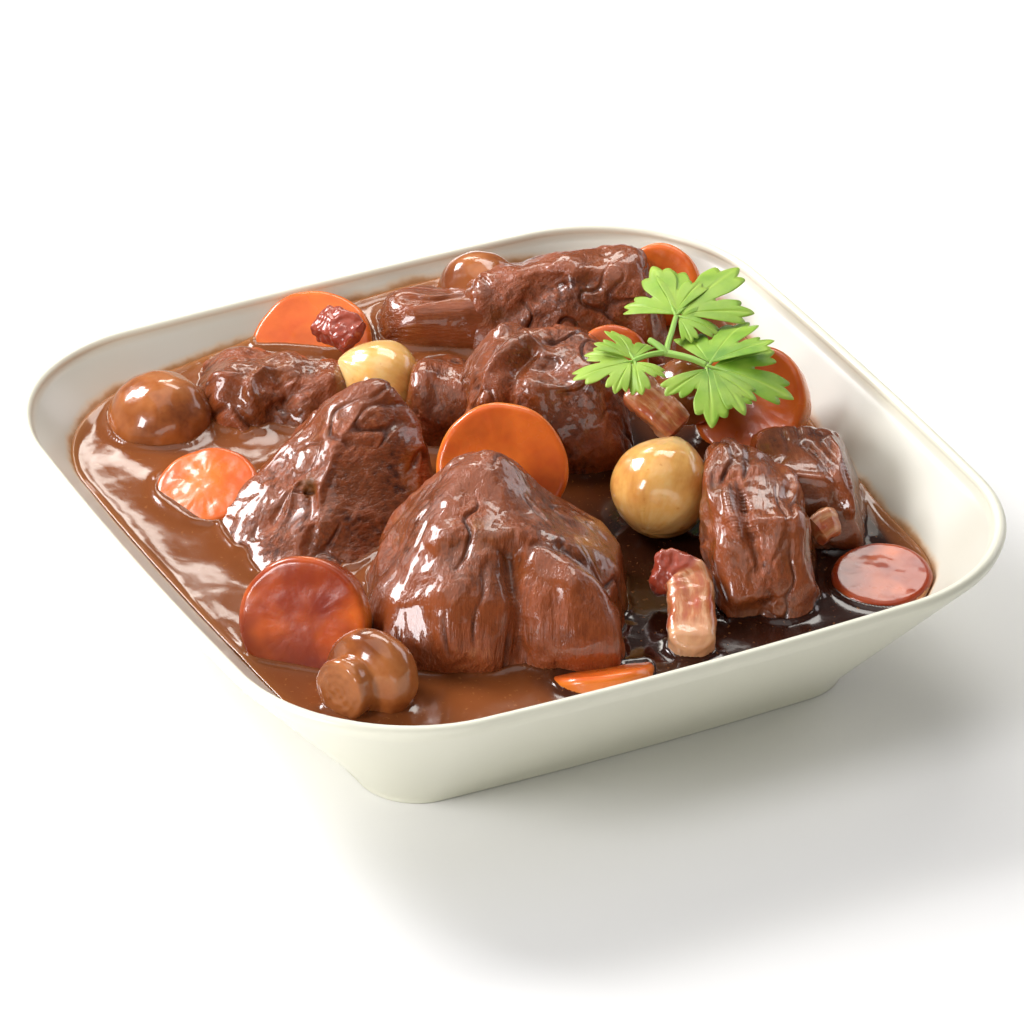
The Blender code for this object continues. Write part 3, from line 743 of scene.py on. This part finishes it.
slice_of_carrot("carrot_left", (205, 70), 12.8, 9, 11, 0.25)
slice_of_carrot("carrot_back_left", (235, 55), 15.0, 8, 12, 0.1, (0.515, 0.554, 0.488))
slice_of_carrot("carrot_front_left", (226, 26), 15.4, 11, 13, 1.1)
slice_of_carrot("carrot_middle", (242, 32), 15.8, 9, 14)
slice_of_carrot("carrot_back_right", (225, 35), 10.5, 8, 15, 0.2)
slice_of_carrot("carrot_under_sprig", (242, 45), 9.2, 7, 16, 0.35)
slice_of_carrot("carrot_right_wall", (215, 38), 14.6, 9, 17, 0.25)
slice_of_carrot("carrot_right_corner", (240, 82), 12.0, 9, 18, 1.1)
slice_of_carrot("carrot_front", (80, 65), 12.8, 8, 19, 0.15)

# ---------------------------------------------------------------- mushrooms
# Whole button mushrooms, stewed until brown and slippery; one lies on its side with its cut stem out.
# Each is turned about its stem, with a smooth cap, a soft shoulder and rings on the cut stem.

CAP_BROWN = (0.36, 0.105, 0.024)
CAP_PALE = (0.56, 0.215, 0.070)
CAP_DARK = (0.150, 0.034, 0.009)

mushroom = Finish("cooked_mushroom", {
    "IOR": 1.42, "Coat Weight": 0.75, "Coat Roughness": 0.05, "Subsurface Weight": 0.10,
    "Subsurface Radius": (1.0, 0.4, 0.2), "Subsurface Scale": 0.002,
})
where = mushroom.place()
cloud = mushroom.mottle(75.0, where, 4.0, 0.6)
skin = mushroom.grades(cloud, (0.28, CAP_DARK), (0.48, CAP_BROWN), (0.78, CAP_PALE))
skin = mushroom.tint(mushroom.value("cut_stem") * 0.6, skin, (0.44, 0.150, 0.045))
skin = mushroom.tint(mushroom.value("shade") * 0.75, skin, CAP_DARK)
mushroom.feed("Base Color", skin)
mushroom.feed("Roughness", 0.16 + mushroom.mottle(300.0, where, 2.0) * 0.12)
mushroom.relief(
    (mushroom.mottle(130.0, where, 3.0), 0.0006, 0.35),
    (mushroom.mottle(800.0, where, 2.0), 0.0001, 0.25),
)

CAP = (
    (-9.0, 0.6), (-8.6, 4.0), (-8.0, 10.0), (-5.0, 12.6), (-0.5, 12.9), (4.0, 11.2),
    (7.8, 7.6), (9.6, 3.6), (10.0, 0.4),
)
CAP_AND_STEM = (
    (-13.2, 0.5), (-13.3, 3.0), (-13.0, 6.0), (-12.0, 7.3), (-9.6, 7.3), (-7.6, 7.2),
    (-6.4, 9.0), (-4.6, 11.0),
    (-0.8, 11.6), (3.6, 9.8), (6.8, 6.0), (7.8, 2.6), (8.0, 0.4),
)


def cooked_mushroom(name, share, axis, profile, size, seed):
    along = heading(*axis)
    line = smooth_curve(np.array(profile) * size, 64)
    line[:, 1] = np.maximum(line[:, 1], 0.25)
    points, faces, turn, step = turned(in_box(name, share), along, line.tolist(), 108, seed, 0.035)
    out = normals_of(points, triangles(faces))
    reach = line[step, 1] / size
    on_stem = smooth_step(line[step, 0], -11.2 * size, -12.6 * size) * (len(profile) > 10)
    rings = np.cos(reach * 3.3) * 0.09 * on_stem + lumps(points, 1.6, seed + 4) * 0.16 * on_stem
    relief = lumps(points, 9.0, seed + 1) * 0.45 + lumps(points, 3.5, seed + 2) * 0.12 + rings
    points = kept_in_bowl(points + out * relief[:, None])
    shade = smooth_step(lumps(points, 11.0, seed + 3) + 0.8 * (out @ heading(330, 0)), 0.3, 1.1)
    values = {"cut_stem": on_stem, "shade": shade}
    return serve(make_piece(name + "_whole", points, faces, mushroom, values), name)


cooked_mushroom("mushroom_left", (0.469, 0.499, 0.516), (185, 70), CAP, 1.0, 21)
cooked_mushroom("mushroom_front", (0.625, 0.53, 0.495), (21, -8), CAP_AND_STEM, 1.0, 22)
cooked_mushroom("mushroom_back", (0.471, 0.467, 0.531), (230, 60), CAP, 0.78, 23)
cooked_mushroom("mushroom_under_sprig", (0.481, 0.463, 0.539), (250, 45), CAP, 0.65, 24)

# ---------------------------------------------------------------- onions
# Pearl onions, peeled and simmered whole until they turn clear and amber.
# Each is turned about its root and tip, with lengthwise veins under a slippery outer layer.

ONION_AMBER = (0.80, 0.430, 0.120)
ONION_PALE = (0.88, 0.620, 0.270)
ONION_BROWN = (0.60, 0.240, 0.050)

onion = Finish("cooked_onion", {
    "IOR": 1.42, "Coat Weight": 0.7, "Coat Roughness": 0.05, "Subsurface Weight": 0.30,
    "Subsurface Radius": (1.0, 0.55, 0.20), "Subsurface Scale": 0.003,
})
where, lengthwise = onion.place(), onion.place("lengthwise")
veins = onion.mottle(1.0, lengthwise, 4.0, 0.6)
cloud = onion.mottle(80.0, where, 4.0, 0.6)
layer = onion.grades(
    veins * 0.25 + cloud * 0.75, (0.33, ONION_BROWN), (0.50, ONION_AMBER), (0.70, ONION_PALE)
)
layer = onion.tint(onion.value("tip") * 0.6, layer, ONION_PALE)
layer = onion.tint(onion.mottle(330.0, where, 3.0).between(0.66, 0.72) * 0.6, layer, ONION_BROWN)
onion.feed("Base Color", layer)
onion.feed("Roughness", 0.15 + cloud * 0.12)
onion.relief((veins, 0.0003, 0.20), (onion.mottle(500.0, where, 2.0), 0.00012, 0.20))

PEARL = (
    (-11.5, 0.5), (-10.6, 4.8), (-7.4, 9.2), (-2.6, 11.9), (2.4, 12.1), (6.8, 10.1),
    (10.4, 6.6), (12.8, 3.2), (14.0, 0.5),
)


def pearl_onion(name, share, axis, size, seed):
    along = heading(*axis)
    line = smooth_curve(np.array(PEARL) * size, 64)
    line[:, 1] = np.maximum(line[:, 1], 0.25)
    points, faces, turn, step = turned(in_box(name, share), along, line.tolist(), 108, seed, 0.03)
    out = normals_of(points, triangles(faces))
    distance = line[step, 0]
    grooves = lumps(np.column_stack([np.cos(turn) * 3.2, np.sin(turn) * 3.2, distance * 0.05]), 1.0, seed + 1)
    relief = lumps(points, 9.0, seed + 2) * 0.4 + grooves * 0.09 + lumps(points, 2.5, seed + 3) * 0.06
    points = points + out * relief[:, None]
    values = {
        "lengthwise": np.column_stack([np.cos(turn) * 5.0, np.sin(turn) * 5.0, distance * 0.12]),
        "tip": smooth_step(distance, 7.0 * size, 12.0 * size),
    }
    return serve(make_piece(name + "_bulb", points, faces, onion, values), name)


pearl_onion("onion_right", (0.493, 0.49, 0.493), (40, 38), 1.0, 31)
pearl_onion("onion_back_left", (0.512, 0.495, 0.49), (150, 30), 0.85, 32)

# ---------------------------------------------------------------- bacon
# Short strips of smoked bacon, cut across the slab, so lean and fat lie side by side.
# Each follows a bent route, with a rough browned end, pale fat and streaks of lean across it.

BACON_LEAN = (0.42, 0.085, 0.034)
BACON_FAT = (0.74, 0.42, 0.22)
BACON_AMBER = (0.50, 0.17, 0.055)
BACON_CRUST = (0.30, 0.040, 0.018)

bacon = Finish("cooked_bacon", {
    "IOR": 1.45, "Coat Weight": 0.6, "Coat Roughness": 0.08, "Subsurface Weight": 0.12,
    "Subsurface Radius": (1.0, 0.4, 0.2), "Subsurface Scale": 0.0015,
})
where, strips = bacon.place(), bacon.place("strips")
fat = bacon.mottle(1.0, strips, 4.0, 0.6)
cloud = bacon.mottle(150.0, where, 4.0, 0.6)
meat = bacon.grades(fat * 0.7 + cloud * 0.3, (0.40, BACON_LEAN), (0.50, BACON_AMBER), (0.60, BACON_FAT))
meat = bacon.tint(bacon.value("lean_end"), meat, BACON_CRUST)
meat = bacon.tint(bacon.value("fat_end") * 0.8, meat, BACON_FAT)
bacon.feed("Base Color", bacon.tint(cloud.between(0.3, 0.7) * 0.35, meat, BACON_LEAN))
bacon.feed("Roughness", 0.22 + cloud * 0.2)
bacon.relief((fat, 0.0006, 0.4), (bacon.mottle(420.0, where, 3.0), 0.0003, 0.35))


def strip_of_bacon(name, stops, width, depth, faces_to, seed, lean=0.35, fat_from=1.1):
    route = smooth_curve([in_box(name, stop) for stop in stops], 72)
    ahead = np.gradient(route, axis=0)
    ahead /= np.linalg.norm(ahead, axis=1)[:, None]
    across = np.cross(ahead, heading(*faces_to))
    across /= np.linalg.norm(across, axis=1)[:, None]
    up = np.cross(across, ahead)
    share = np.linspace(0.0, 1.0, len(route))
    ends = np.minimum(1.0, np.sqrt(np.clip(np.minimum(share, 1 - share) / 0.07, 0.0, 1.0)) * 0.55 + 0.45)
    a = np.linspace(0.0, 2.0 * math.pi, 56, endpoint=False)
    square = (np.abs(np.cos(a)) ** 5 + np.abs(np.sin(a)) ** 5) ** (-1 / 5)
    section = np.column_stack([np.cos(a) * square * 0.5, np.sin(a) * square * 0.5])
    rings = []
    for k in range(len(route)):
        flat = section * (width, depth) * ends[k]
        rings.append(route[k] + np.outer(flat[:, 0], across[k]) + np.outer(flat[:, 1], up[k]))
    points, faces = loft(rings)
    out = normals_of(points, triangles(faces))
    far = np.concatenate([np.repeat(share, len(a)), [0.0, 1.0]])
    sideways = np.concatenate([np.tile(section[:, 0], len(route)), [0.0, 0.0]])
    length = np.linalg.norm(np.diff(route, axis=0), axis=1).sum()
    rough = smooth_step(far, lean + 0.08, lean - 0.12)
    relief = lumps(points, 4.5, seed) * 0.55 + lumps(points, 1.7, seed + 1) * (0.15 + 0.35 * rough)
    relief += 0.07 * np.sin(far * length * 1.9 + 3.0 * lumps(points, 4.0, seed + 2)) * (1 - rough)
    points = points + out * relief[:, None]
    values = {
        "strips": np.column_stack([sideways * 4.5, far * length * 0.10, lumps(points, 6.0, seed + 3) * 0.4]),
        "lean_end": smooth_step(far + lumps(points, 4.0, seed + 4) * 0.08, lean + 0.04, lean - 0.04),
        "fat_end": smooth_step(far + lumps(points, 4.0, seed + 5) * 0.06, fat_from - 0.03, fat_from + 0.03),
    }
    return serve(make_piece(name + "_strip", points, faces, bacon, values), name)


strip_of_bacon(
    "bacon_back_left", ((0.299, 0.914, 0.397), (0.439, 0.534, 0.529), (0.718, 0.115, 0.332)),
    9, 5.5, (230, 60), 41, lean=1.4,
)
strip_of_bacon(
    "bacon_middle_right",
    ((0.283, 0.948, 0.752), (0.419, 0.599, 0.661), (0.555, 0.298, 0.479), (0.742, 0.117, 0.206)),
    9, 6, (242, 50), 42, lean=-0.2,
)
strip_of_bacon(
    "bacon_right", ((0.108, 0.34, 0.412), (0.542, 0.478, 0.527), (0.852, 0.683, 0.34)),
    7, 5, (242, 40), 43, lean=-0.2,
)
strip_of_bacon(
    "bacon_front_right",
    ((0.391, 0.914, 0.711), (0.689, 0.733, 0.678), (0.553, 0.47, 0.479), (0.201, 0.076, 0.182)),
    11, 8, (242, 40), 44,
    lean=0.36, fat_from=0.86,
)

# ---------------------------------------------------------------- parsley
# A sprig of flat parsley laid on top, fresh and uncooked: thin forked stems and toothed leaflets.
# Leaflets are thin blades on a fan of lines, cut into lobes and teeth, and raised between their veins.

LEAF_GREEN = (0.190, 0.370, 0.018)
LEAF_LIGHT = (0.400, 0.560, 0.085)
LEAF_DEEP = (0.090, 0.240, 0.008)
STEM_GREEN = (0.30, 0.52, 0.10)

leaf_green = Finish("parsley", {
    "Roughness": 0.42, "IOR": 1.4, "Subsurface Weight": 0.15,
    "Subsurface Radius": (0.4, 1.0, 0.2), "Subsurface Scale": 0.001,
})
where = leaf_green.place()
vein, rib, pale = leaf_green.value("vein"), leaf_green.value("rib"), leaf_green.value("pale")
blade = leaf_green.tint(leaf_green.mottle(150.0, where, 3.0).between(0.35, 0.7), LEAF_GREEN, LEAF_DEEP)
blade = leaf_green.tint(pale * 0.75, blade, LEAF_LIGHT)
blade = leaf_green.tint(vein * 0.55, blade, LEAF_LIGHT)
leaf_green.feed("Base Color", leaf_green.tint(rib, blade, STEM_GREEN))
leaf_green.feed("Roughness", 0.36 + leaf_green.mottle(400.0, where, 2.0) * 0.16)
leaf_green.relief((leaf_green.mottle(700.0, where, 3.0), 0.0002, 0.35))

SPRIG = "parsley_sprig"
FORK = in_box(SPRIG, (0.441, 0.463, 0.541))
LEFT_FORK = in_box(SPRIG, (0.300, 0.489, 0.458))
TOP_FORK = in_box(SPRIG, (0.595, 0.656, 0.708))
RIGHT_FORK = in_box(SPRIG, (0.560, 0.319, 0.458))
STUB = in_box(SPRIG, (0.403, 0.548, 0.667))
STEM_RADIUS = 0.85
LEAF_THICKNESS = 0.32
LOBES = ((-47.0, 0.80), (0.0, 1.0), (47.0, 0.80))   # turn from the leaflet's middle, share of its length
FAN = 74.0                                         # a blade opens this far to each side of its middle
TOOTH, LOBE_SPREAD = 14.0, 21.5
# fork, tip of the leaflet, how pale it is, how far it is turned over
LEAFLETS = (
    (LEFT_FORK, (0.325, 0.741, 0.541), 0.5, 10), (LEFT_FORK, (0.002, 0.514, 0.208), 0.8, -8),
    (LEFT_FORK, (0.243, 0.302, 0.124), 0.6, 14), (TOP_FORK, (0.667, 0.999, 0.875), 0.55, -12),
    (TOP_FORK, (0.999, 0.826, 0.959), 0.5, 8), (TOP_FORK, (0.741, 0.486, 0.500), 0.5, 12),
    (RIGHT_FORK, (0.892, 0.557, 0.625), 0.2, -10), (RIGHT_FORK, (0.869, 0.031, 0.041), 0.15, 8),
    (RIGHT_FORK, (0.410, 0.002, 0.041), 0.4, -6),
)


def lobe_reach(turn):
    """Length of the blade in each direction of its fan, and how near that is to a lobe's middle vein."""
    reach, vein = np.full(len(turn), 0.46), np.zeros(len(turn))
    for middle, length in LOBES:
        off = np.abs(turn - middle)
        tooth = np.abs((off / TOOTH + 0.5) % 1.0 - 0.5) * 2.0
        lobe = length * (1.0 - 0.28 * (off / LOBE_SPREAD) ** 2) * (1.0 - 0.14 * tooth**1.4)
        reach = np.maximum(reach, lobe * smooth_step(off, LOBE_SPREAD + 1.5, LOBE_SPREAD - 1.5))
        vein = np.maximum(vein, np.exp(-((off / 1.8) ** 2)))
    return reach * smooth_step(FAN - np.abs(turn), -4.0, 14.0), np.minimum(vein, 1.0)


def leaflet(foot, tip, pale, roll, seed):
    """Both skins of one blade, joined along its edge."""
    span = tip - foot
    length = np.linalg.norm(span)
    along = span / length
    across = np.cross((0.0, 0.0, 1.0), along)
    across /= np.linalg.norm(across)
    up = np.cross(along, across)
    across, up = (
        across * math.cos(math.radians(roll)) + up * math.sin(math.radians(roll)),
        up * math.cos(math.radians(roll)) - across * math.sin(math.radians(roll)),
    )
    turns, outs = np.linspace(-FAN, FAN, 197), np.linspace(0.02, 1.0, 12)
    reach, vein = lobe_reach(turns)
    reach = reach * (1.0 + 0.10 * lumps(np.column_stack([turns / 22.0, turns * 0, turns * 0]), 1.0, seed))
    share = outs[:, None] * reach[None, :]
    radius = share * length * 0.95
    a = np.radians(turns)[None, :]
    flat_x, flat_y = radius * np.cos(a), radius * np.sin(a)
    raised = -0.30 * vein[None, :] * smooth_step(share, 0.05, 0.4) * (1 - 0.6 * share)
    ruffle = 1.3 * np.sin(np.radians(turns * 3.0 + seed * 40.0))[None, :] * share**2
    droop = -1.8 * share**2 * (np.abs(turns) / FAN)[None, :] + 1.0 * np.sin(share * 3.1)
    lift = raised + ruffle + droop
    middle = foot + flat_x[..., None] * along + flat_y[..., None] * across + lift[..., None] * up
    edge = (1.0 - outs**6)[:, None, None] * 0.85 + 0.15
    skins = [middle + up * (side * LEAF_THICKNESS * 0.5) * edge for side in (1, -1)]
    rows, columns = radius.shape
    points = np.vstack([skin.reshape(-1, 3) for skin in skins])
    i, j = np.meshgrid(np.arange(rows - 1), np.arange(columns - 1), indexing="ij")
    near, far = i * columns + j, (i + 1) * columns + j
    top = np.stack([near, far, far + 1, near + 1], -1).reshape(-1, 4)
    border = [(0, c) for c in range(columns)] + [(r, columns - 1) for r in range(1, rows)]
    border += [(rows - 1, c) for c in range(columns - 2, -1, -1)] + [(r, 0) for r in range(rows - 2, 0, -1)]
    loop = np.array([r * columns + c for r, c in border])
    following, under = np.roll(loop, -1), rows * columns
    rim = np.stack([loop, following, following + under, loop + under], 1)
    faces = np.vstack([top, top[:, ::-1] + under, rim])
    ribs = np.tile((vein[None, :] * np.ones((rows, 1))).ravel(), 2)
    towards_tip = np.tile(np.repeat(outs**3, columns), 2)
    soft = np.clip(pale + 0.5 * lumps(points, 6.0, seed + 50) + 0.25 * towards_tip, 0, 1)
    return points, faces, ribs, soft


def stem(start, end, thick, sag, seed):
    line = np.linspace(start, end, 22)
    share = np.linspace(0.0, 1.0, 22)[:, None]
    line = line + np.sin(share * math.pi) * np.array((0.0, 0.0, sag)) + drift(line, 9.0, seed) * 0.35
    ahead = np.gradient(line, axis=0)
    ahead /= np.linalg.norm(ahead, axis=1)[:, None]
    a = np.linspace(0.0, 2.0 * math.pi, 18, endpoint=False)
    rings = []
    for k, place in enumerate(line):
        side, up = axes_of(ahead[k])
        size = thick * (1.0 - 0.18 * k / 21) * (1.0 - 0.12 * np.cos(a * 5.0))
        rings.append(place + np.outer(np.cos(a) * size, side) + np.outer(np.sin(a) * size, up))
    return loft(rings)


def joined(parts):
    """One list of points and faces from several, and the numbers laid on them."""
    points, faces, numbers, start = [], [], [], 0
    for part in parts:
        points.append(part[0])
        faces += [[corner + start for corner in face] for face in part[1]]
        numbers.append(np.stack([np.broadcast_to(n, len(part[0])) for n in part[2:]], 1))
        start += len(part[0])
    return np.vstack(points), faces, np.vstack(numbers)


parts = []
for seed, (fork, tip_share, pale_share, roll) in enumerate(LEAFLETS):
    tip = in_box(SPRIG, tip_share)
    foot = fork + (tip - fork) * 0.06
    points, faces, ribs, soft = leaflet(foot, tip, pale_share, roll, seed)
    parts.append((points, faces.tolist(), ribs, 0.0, soft))
    parts.append((*stem(fork, fork + (tip - fork) * 0.42, 0.42, 0.25, seed + 60), 0.0, 0.7, 0.5))
for seed, (start, end, thick) in enumerate((
    (FORK, LEFT_FORK, 0.72), (FORK, TOP_FORK, 0.72),
    (FORK, RIGHT_FORK, STEM_RADIUS), (FORK, STUB, STEM_RADIUS),
)):
    parts.append((*stem(start - (end - start) * 0.05, end, thick, 0.3, seed + 80), 0.0, 1.0, 0.5))
points, faces, numbers = joined(parts)
values = {"vein": numbers[:, 0], "rib": numbers[:, 1], "pale": numbers[:, 2]}
serve(make_piece("parsley_sprig_leaves", points, faces, leaf_green, values), SPRIG)

# ---------------------------------------------------------------- sauce
# A glossy brown sauce of stock and wine, thickened with flour, that fills the bowl round the food.
# Its skin is a fine net that clings to the wall and to each piece; its underside follows the bowl.

SAUCE_BROWN = (0.215, 0.062, 0.017)
SAUCE_DEEP_AND_SHADED = (0.030, 0.0080, 0.0040)
SAUCE_THIN = (0.42, 0.170, 0.055)

gravy = Finish("gravy", {
    "IOR": 1.4, "Specular IOR Level": 0.5, "Coat Weight": 0.25, "Coat Roughness": 0.05,
    "Subsurface Weight": 0.08, "Subsurface Radius": (1.0, 0.35, 0.15), "Subsurface Scale": 0.002,
})
where = gravy.place()
cloud = gravy.mottle(42.0, where, 4.0, 0.6)
# depth darkens the sauce: a little for deeper sauce away from the wall, and as painted shade towards the right,
# the front and round the food
depth = gravy.value("depth") + cloud * 0.5 - 0.25
body = gravy.tint(depth.between(0.15, 0.85), SAUCE_BROWN, SAUCE_DEEP_AND_SHADED)
body = gravy.tint(gravy.value("at_wall") * 0.85, body, SAUCE_THIN)
specks = gravy.mottle(900.0, where, 2.0).between(0.66, 0.72)
gravy.feed("Base Color", gravy.tint(specks * 0.35, body, SAUCE_THIN))
gravy.feed("Roughness", 0.07 + cloud * 0.10)
gravy.relief(
    (gravy.mottle(95.0, where, 3.0, 0.55), 0.0008, 0.10),
    (gravy.mottle(700.0, where, 3.0), 0.0001, 0.16),
)

NET = 268                  # squares of the sauce's net along each side
WALL_BITE = 0.5            # the sauce's skin reaches this far into the wall
CLING_HEIGHT, CLING_WIDTH = 1.1, 1.3

food = [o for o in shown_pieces() if "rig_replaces" in o and o is not bowl and o.name != "parsley_sprig_leaves"]
corners, skins, start = [], [], 0
for piece in food:
    mesh = piece.data
    place = np.zeros(len(mesh.vertices) * 3)
    mesh.vertices.foreach_get("co", place)
    corners.append(place.reshape(-1, 3) / MM)
    mesh.calc_loop_triangles()
    tris = np.zeros(len(mesh.loop_triangles) * 3, int)
    mesh.loop_triangles.foreach_get("vertices", tris)
    skins.append(tris.reshape(-1, 3) + start)
    start += len(corners[-1])
tree = BVHTree.FromPolygons(np.vstack(corners).tolist(), np.vstack(skins).tolist(), all_triangles=True)

u = np.linspace(-1.0, 1.0, NET + 1)
gx, gy = (g.ravel() for g in np.meshgrid(u, u, indexing="ij"))
square = np.maximum(np.abs(gx), np.abs(gy))
out = np.hypot(gx, gy) + 1e-9
edge_x, edge_y = gx / out * 88.0, gy / out * 88.0
for _ in range(5):
    reach = wall_distance_out(edge_x, edge_y, sauce_level(edge_x, edge_y)) + WALL_BITE
    edge_x, edge_y = gx / out * reach, gy / out * reach
x, y = edge_x * square, edge_y * square
level = sauce_level(x, y)
flat = np.column_stack([x, y, level])
swell = lumps(flat, 23.0, 61) * 0.42 + lumps(flat, 7.0, 62) * 0.06 + lumps(flat, 2.6, 63) * 0.015
to_wall = (wall_distance_out(x, y, level) - np.hypot(x, y)).clip(0.0)
to_food = np.array([tree.find_nearest(Vector(p), 9.0)[3] or 9.0 for p in flat.tolist()])
cling = CLING_HEIGHT * np.exp(-to_food / CLING_WIDTH) * (to_food < 9.0) + 0.9 * np.exp(-to_wall / 1.1)
level = level + swell * smooth_step(to_wall, 0.0, 3.0) + cling
rightward = x * 0.888 - y * 0.46
nearer = -(x * 0.46 + y * 0.888)
# darker towards the right and the front, away from the wall, and next to the food: painted shade, with deeper
# sauce away from the wall
depth = smooth_step(rightward, -15.0, 45.0) * smooth_step(nearer, -70.0, 10.0)
depth = depth * smooth_step(to_wall, 1.0, 9.0) + 0.25 * smooth_step(to_food, 6.0, 1.0)
at_wall = np.exp(-to_wall / 1.3)
count = NET + 1
i, j = (g.ravel() for g in np.meshgrid(np.arange(NET), np.arange(NET), indexing="ij"))
top = np.stack([i * count + j, (i + 1) * count + j, (i + 1) * count + j + 1, i * count + j + 1], 1)
border = np.concatenate([
    np.arange(NET) * count, NET * count + np.arange(NET),
    (NET - np.arange(NET)) * count + NET, NET - np.arange(NET),
])
skin = np.column_stack([x, y, level])
rings = [skin[border]]
for share in (0.75, 0.5, 0.25, 0.02):
    height = 5.3 + (rings[0][:, 2] - 5.3) * share
    reach = wall_distance_out(rings[0][:, 0], rings[0][:, 1], height) + WALL_BITE * 0.5
    turn = np.arctan2(rings[0][:, 1], rings[0][:, 0])
    rings.append(np.column_stack([reach * np.cos(turn), reach * np.sin(turn), height]))
under_points, under_faces = loft(rings)
size = len(border)
under_points, under_faces = under_points[:-2], [f for f in under_faces if max(f) < size * len(rings)]
lowest = size * (len(rings) - 1)
points = np.vstack([skin, under_points[size:], [[0.0, 0.0, 5.5]]])
first = len(skin) - size
names = np.concatenate([border, np.arange(len(skin), len(points))])
faces = top.tolist() + [[names[c] for c in f][::-1] for f in under_faces]
last_ring = names[lowest : lowest + size]
faces += [[last_ring[k], last_ring[(k + 1) % size], len(points) - 1][::-1] for k in range(size)]
extra = np.zeros(len(points) - len(skin))
values = {"depth": np.concatenate([depth, extra]), "at_wall": np.concatenate([at_wall, extra])}
serve(make_piece("sauce_pool", points, faces, gravy, values), "sauce")

# ---------------------------------------------------------------- studio
# A pale sweep of board under the bowl, a large soft key from the left, and cards at the back and right.
# The camera looks down at the bowl from the front left, from far off.

board = Finish("board", {"Roughness": 0.6})
paper = board.mottle(3.0, board.place(), 2.0)
board.feed("Base Color", board.tint(paper, (0.93, 0.93, 0.925), (0.91, 0.91, 0.905)))
half = 4.0
floor_mesh = bpy.data.meshes.new("floor")
floor_corners = [(-half, -half, 0.0), (half, -half, 0.0), (half, half, 0.0), (-half, half, 0.0)]
floor_mesh.from_pydata(floor_corners, [], [(0, 1, 2, 3)])
floor_mesh.materials.append(board.material)
floor = bpy.data.objects.new("floor", floor_mesh)
bpy.context.scene.collection.objects.link(floor)

AWAY, RIGHTWARD = Vector(heading(62.6)), Vector(heading(-27.4))


def softbox(name, place, size, radiance, colour, turned_by=0.0):
    """A flat soft light of an even radiance, aimed at the food."""
    lamp = bpy.data.lights.new(name, "AREA")
    lamp.shape, lamp.size, lamp.size_y = "RECTANGLE", *size
    lamp.energy, lamp.color = radiance * math.pi * size[0] * size[1], colour
    thing = bpy.data.objects.new(name, lamp)
    thing.location = place
    thing.rotation_mode = "QUATERNION"
    facing = (Vector((0.0, 0.0, 0.035)) - Vector(place)).to_track_quat("-Z", "Y")
    thing.rotation_quaternion = facing @ Quaternion((0.0, 0.0, 1.0), math.radians(turned_by))
    thing.visible_camera = False
    bpy.context.scene.collection.objects.link(thing)


def card_place(rightward, height, away=0.40):
    return AWAY * away + RIGHTWARD * rightward + Vector((0.0, 0.0, height))


softbox("key", Vector(heading(119, 41)) * 0.80, (0.32, 0.26), 25.0, (1.0, 0.985, 1.0))
softbox("window", Vector(heading(192, 30)) * 0.80, (0.20, 0.28), 21.0, (1.0, 0.985, 1.0))
softbox("overhead", Vector((0.0, 0.0, 1.1)), (0.9, 0.9), 1.0, (1.0, 0.99, 0.97))
softbox("front_fill", Vector(heading(252, 13)) * 1.2, (1.0, 0.34), 1.9, (1.0, 0.985, 0.95))
softbox("back_left_card", card_place(-0.073, 0.268), (0.095, 0.046), 9.0, (1.0, 0.97, 0.89))
softbox("left_back_card", card_place(-0.101, 0.333), (0.105, 0.028), 10.0, (1.0, 0.97, 0.89), turned_by=-49.0)
softbox("back_high_card", card_place(0.09, 0.48, 0.36), (0.30, 0.14), 7.5, (1.0, 0.975, 0.92))
softbox("right_card", Vector(heading(12, 22)) * 0.68, (0.42, 0.26), 2.3, (1.0, 0.96, 1.0))

world = bpy.data.worlds.new("room")
world.use_nodes = True
world.node_tree.nodes["Background"].inputs["Color"].default_value = (1.0, 1.0, 1.0, 1.0)
world.node_tree.nodes["Background"].inputs["Strength"].default_value = 0.11
bpy.context.scene.world = world
bpy.context.scene.view_settings.view_transform = "Standard"

CAMERA_HEADING, CAMERA_RISE, CAMERA_ROLL = 242.2, 31.43, 0.84     # degrees
CAMERA_AIM, CAMERA_DISTANCE = Vector((0.0075, 0.0116, 0.0225)), 1.776
camera = bpy.data.objects.new("camera", bpy.data.cameras.new("camera"))
bpy.context.scene.collection.objects.link(camera)
camera.data.lens, camera.data.sensor_width = 258.3, 36.0
back = Vector(heading(CAMERA_HEADING, CAMERA_RISE))
right = Quaternion(back, math.radians(CAMERA_ROLL)) @ Vector(heading(CAMERA_HEADING + 90.0))
camera.matrix_world = Matrix.LocRotScale(
    CAMERA_AIM + back * CAMERA_DISTANCE, Matrix((right, back.cross(right), back)).transposed(), None
)
bpy.context.scene.camera = camera
